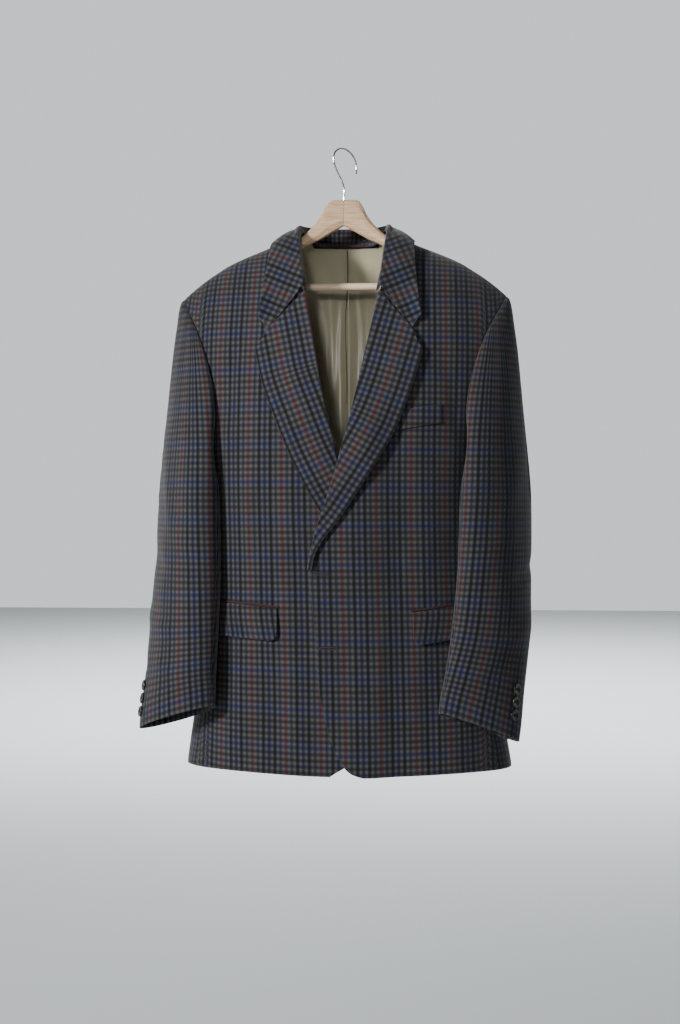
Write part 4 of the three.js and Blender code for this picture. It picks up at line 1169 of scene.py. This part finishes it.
def laid(node, slot, side, row, cols, rows, out, thick, material, belly=0.0, dip=0.0):
    """A piece laid on a front, between two places and under a sloped line."""
    c, down = cols[None, :], rows[:, None]
    x = mix(row["inner"], row["outer"], c)
    top = mix(row["top_in"], row["top_out"], c)
    if row["round"]:
        near = np.clip(1 - (x - row["inner"]) / row["round"], 0, 1)
        cut = row["round"] * (1 - np.sqrt(1 - near**2))
    else:
        cut = 0.0
    z = top - down * (row["drop"] - cut)
    rise = out + belly * np.sin(np.pi * np.clip(down * 0.62, 0, 1)) + dip * down
    outer = front_at(side, x, z, rise + 0 * x)
    u = lengths(outer, 1) + row["inner"] - WARP_PHASE[side]
    v = level_share(z, x + 0 * z) - WEFT_PHASE[side]
    uv = np.stack([u, v], axis=-1)
    return piece(node, slot, outer, uv, [material], thick=thick, flip=side > 0)


# How far the jet's top is above the flap's.
JET_RISE = 3.4


def pocket(side):
    name = SIDES[side]
    row = FLAPS[side]
    cols = np.concatenate([[0, 0.004, 0.01, 0.02], np.linspace(0.035, 1, 54)])
    rows = spread(30, width=48.0)
    form = dict(out=2.5, thick=1.7, material=WOOL, belly=1.0, dip=3.2)
    flap = laid("flap_" + name, "wool", side, row, cols, rows, **form)
    tops = {k: row[k] + JET_RISE for k in ("top_in", "top_out")}
    row = dict(row, inner=row["inner"] - 2, drop=3.0, round=0, **tops)
    cols, rows = spread(40, width=90.0), spread(6, fine=(0.0, 0.3, 0.8), width=3.0)
    form = dict(out=2.0, thick=1.5, material=PIPING)
    jet = laid("jet_" + name, "piping", side, row, cols, rows, **form)


def breast_welt():
    cols, rows = spread(40, width=85.0), spread(16, width=27.0)
    form = dict(out=3.0, thick=1.7, material=WOOL)
    o = laid("breast_welt", "wool", 1, WELT, cols, rows, **form)


# The locker loop's half length, top level and width.
LOOP_HALF = 32.0
LOOP_TOP = -134.0
LOOP_WIDE = 3.5


def locker_loop():
    cols, rows = spread(30, width=52.0), spread(4, fine=(0.0, 0.3, 0.9), width=LOOP_WIDE)
    x = mix(-LOOP_HALF, LOOP_HALF, cols)[None, :] + 0 * rows[:, None]
    z = LOOP_TOP - LOOP_WIDE * rows[:, None] + 0 * x
    outer = point(x, 41.5 - 0.004 * x**2, z)
    uv = np.stack([lengths(outer, 1), z], axis=-1)
    return piece("locker_loop", "lining", outer, uv, [PIPING], thick=0.9)


# Sewing

# Buttonholes of the left front: near end, far end and level.
BUTTONHOLES = ((-37.5, -14.5, -623.0), (-29.0, -4.0, -728.5))


def buttonhole(index, near, far, level):
    t = np.linspace(0, 2 * np.pi, 56, endpoint=False)
    half = (far - near) / 2
    c, s = np.cos(t), np.sin(t)
    power = 0.45
    x = (near + far) / 2 + half * np.sign(c) * np.abs(c) ** power
    z = level + 1.5 * np.sign(s) * np.abs(s) ** power + 0.02 * (x - near)
    bead(f"buttonhole_{index}", front_at(1, x, z, 0.5), 0.85, closed=True)


# A button's profile from its back to its face: share of the radius and of half its thickness.
BUTTON_PROFILE = (
    (0.02, -0.9),
    (0.7, -0.95),
    (0.93, -0.6),
    (1.0, 0.0),
    (0.97, 0.6),
    (0.88, 0.95),
    (0.78, 0.98),
    (0.7, 0.75),
    (0.6, 0.45),
    (0.3, 0.38),
    (0.02, 0.36),
)
BUTTON_SIDES = 40
FACE_HIGH = 0.36

# Two threads run up and down through a button's holes: their distance from its centre,
# half length, radius and arch.
THREAD_ASIDE = 1.35
THREAD_REACH = 1.7
THREAD_RADIUS = 0.42
THREAD_ARCH = 0.5


def button(node):
    """A turned button with a raised rim, sewn on through four holes."""
    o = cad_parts[node]
    p = np.array([tuple(o.matrix_world @ v.co) for v in o.data.vertices]) / MM
    centre = (p.max(axis=0) + p.min(axis=0)) / 2
    axis = np.linalg.eigh(np.cov((p - p.mean(axis=0)).T))[1][:, 0]
    rel = p - centre
    if axis @ np.array([0.2 * np.sign(centre[0]), -1, 0]) < 0:
        axis = -axis
    thick = (rel @ axis).max()
    radius = np.linalg.norm(rel - (rel @ axis)[:, None] * axis, axis=1).max()
    across = unit(np.cross(axis, np.array([0, 0, 1.0])))
    up = np.cross(across, axis)
    turns = np.arange(BUTTON_SIDES)[:, None] * 2 * np.pi / BUTTON_SIDES
    ring = across * np.cos(turns) + up * np.sin(turns)
    rings = [centre + ring * share * radius + axis * high * thick for share, high in BUTTON_PROFILE]
    made = ringed("horn_" + node, np.array(rings), HORN)
    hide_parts(node)
    ends = np.linspace(-1, 1, 9)[:, None]
    arch = FACE_HIGH * thick + THREAD_ARCH * np.sqrt(np.clip(1 - ends**2, 0, 1))
    line = centre + up * (THREAD_REACH * ends) + axis * arch
    for k in (-1, 1):
        aside = across * (THREAD_ASIDE * k)
        bead(f"sewing_{node}_{k + 2}", line + aside, THREAD_RADIUS)


for s in (1, -1):
    front_panel(s)
    side_panel(s)
    back_panel(s)
    back_lining(s)
    sleeve(s)
    lapel(s)
    pocket(s)
collar(locker_loop())
breast_welt()


def dress_nodes(prefix, material):
    for name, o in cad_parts.items():
        if name.startswith(prefix):
            o.data.materials.clear()
            o.data.materials.append(material)


dress_nodes("hanger_arm", WOOD)
dress_nodes("trouser_bar", BAR_WOOD_PAINTED_LIGHT)
dress_nodes("hook", STEEL)
for node_name in list(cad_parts):
    if node_name.startswith(("front_button", "cuff_button")):
        button(node_name)
lining_seam_painted_shade()
for k, hole in enumerate(BUTTONHOLES, 1):
    buttonhole(k, *hole)


# Floor, light and camera

FLOOR_LEVEL = -1.62


def floor():
    bpy.ops.mesh.primitive_plane_add(size=30, location=(0, 0, FLOOR_LEVEL))
    o = bpy.context.object
    o.name = "floor"
    o.data.materials.append(principled("floor_pale", (0.62, 0.65, 0.66), 0.9))


def aimed_light(data, place, target, power, color):
    data.energy = power
    data.color = color
    o = bpy.data.objects.new(data.name, data)
    o.location = place
    aim = np.array(target) - np.array(place)
    o.rotation_euler = (
        math.atan2(math.hypot(aim[0], aim[1]), -aim[2]),
        0,
        math.atan2(-aim[0], aim[1]),
    )
    bpy.context.collection.objects.link(o)


def area_light(name, place, target, size, power, color):
    data = bpy.data.lights.new(name, "AREA")
    data.size = size
    aimed_light(data, place, target, power, color)


def spot_light(name, place, target, angle, power, color):
    """A soft narrow beam, here on the neck of the coat and its lining."""
    data = bpy.data.lights.new(name, "SPOT")
    data.spot_size = math.radians(angle)
    data.spot_blend = 1.0
    data.shadow_soft_size = 0.12
    aimed_light(data, place, target, power, color)


# The photograph's view: distance from the hanger, height, turn and lens.
CAMERA_DISTANCE = 2.3
CAMERA_HEIGHT = -0.536
CAMERA_TURN = math.radians(5)
CAMERA_SHIFT = -0.006
CAMERA_LENS = 54.63


def camera():
    data = bpy.data.cameras.new("camera")
    data.lens = CAMERA_LENS
    data.sensor_fit = "VERTICAL"
    data.sensor_height = 36.0
    o = bpy.data.objects.new("camera", data)
    c, s = math.cos(CAMERA_TURN), math.sin(CAMERA_TURN)
    o.location = (
        CAMERA_SHIFT * c + CAMERA_DISTANCE * s,
        CAMERA_SHIFT * s - CAMERA_DISTANCE * c,
        CAMERA_HEIGHT,
    )
    o.rotation_euler = (math.radians(90), 0, CAMERA_TURN)
    bpy.context.collection.objects.link(o)
    bpy.context.scene.camera = o


def studio_world():
    """Pale light all round, brightest behind the coat and low in front of it."""
    world = bpy.data.worlds.new("studio")
    world.use_nodes = True
    g = Graph(world)
    parts = g.node("SeparateXYZ")
    g.put(parts.inputs[0], g.node("TexCoord").outputs["Generated"])
    share = g.math("MULTIPLY_ADD", parts.outputs[1], 0.5, 0.5)
    tones = ((0.42, (0.05, 0.053, 0.058)), (0.94, (0.86, 0.90, 0.92)))
    g.put(g.tree.nodes["Background"].inputs[0], g.ramp(share, tones))
    bpy.context.scene.world = world


floor()
area_light("key", (-2.2, -2.5, 0.35), (0, 0, -0.5), 0.5, 150, (1.0, 0.985, 0.965))
area_light("front", (-0.3, -3.4, 0.3), (0, 0, -0.4), 0.8, 8, (1.0, 0.99, 0.97))
spot_light("neck", (-0.12, -2.9, -0.05), (0.005, 0.05, -0.29), 9.0, 110, (1.0, 0.98, 0.95))
area_light("rim", (-0.9, 1.9, 0.6), (0, 0, -0.5), 1.4, 14, (0.95, 0.98, 1.0))
area_light("floor_wash", (0, 7.0, 2.2), (0, 8.5, -1.6), 7.0, 900, (0.97, 0.99, 1.0))
studio_world()
camera()
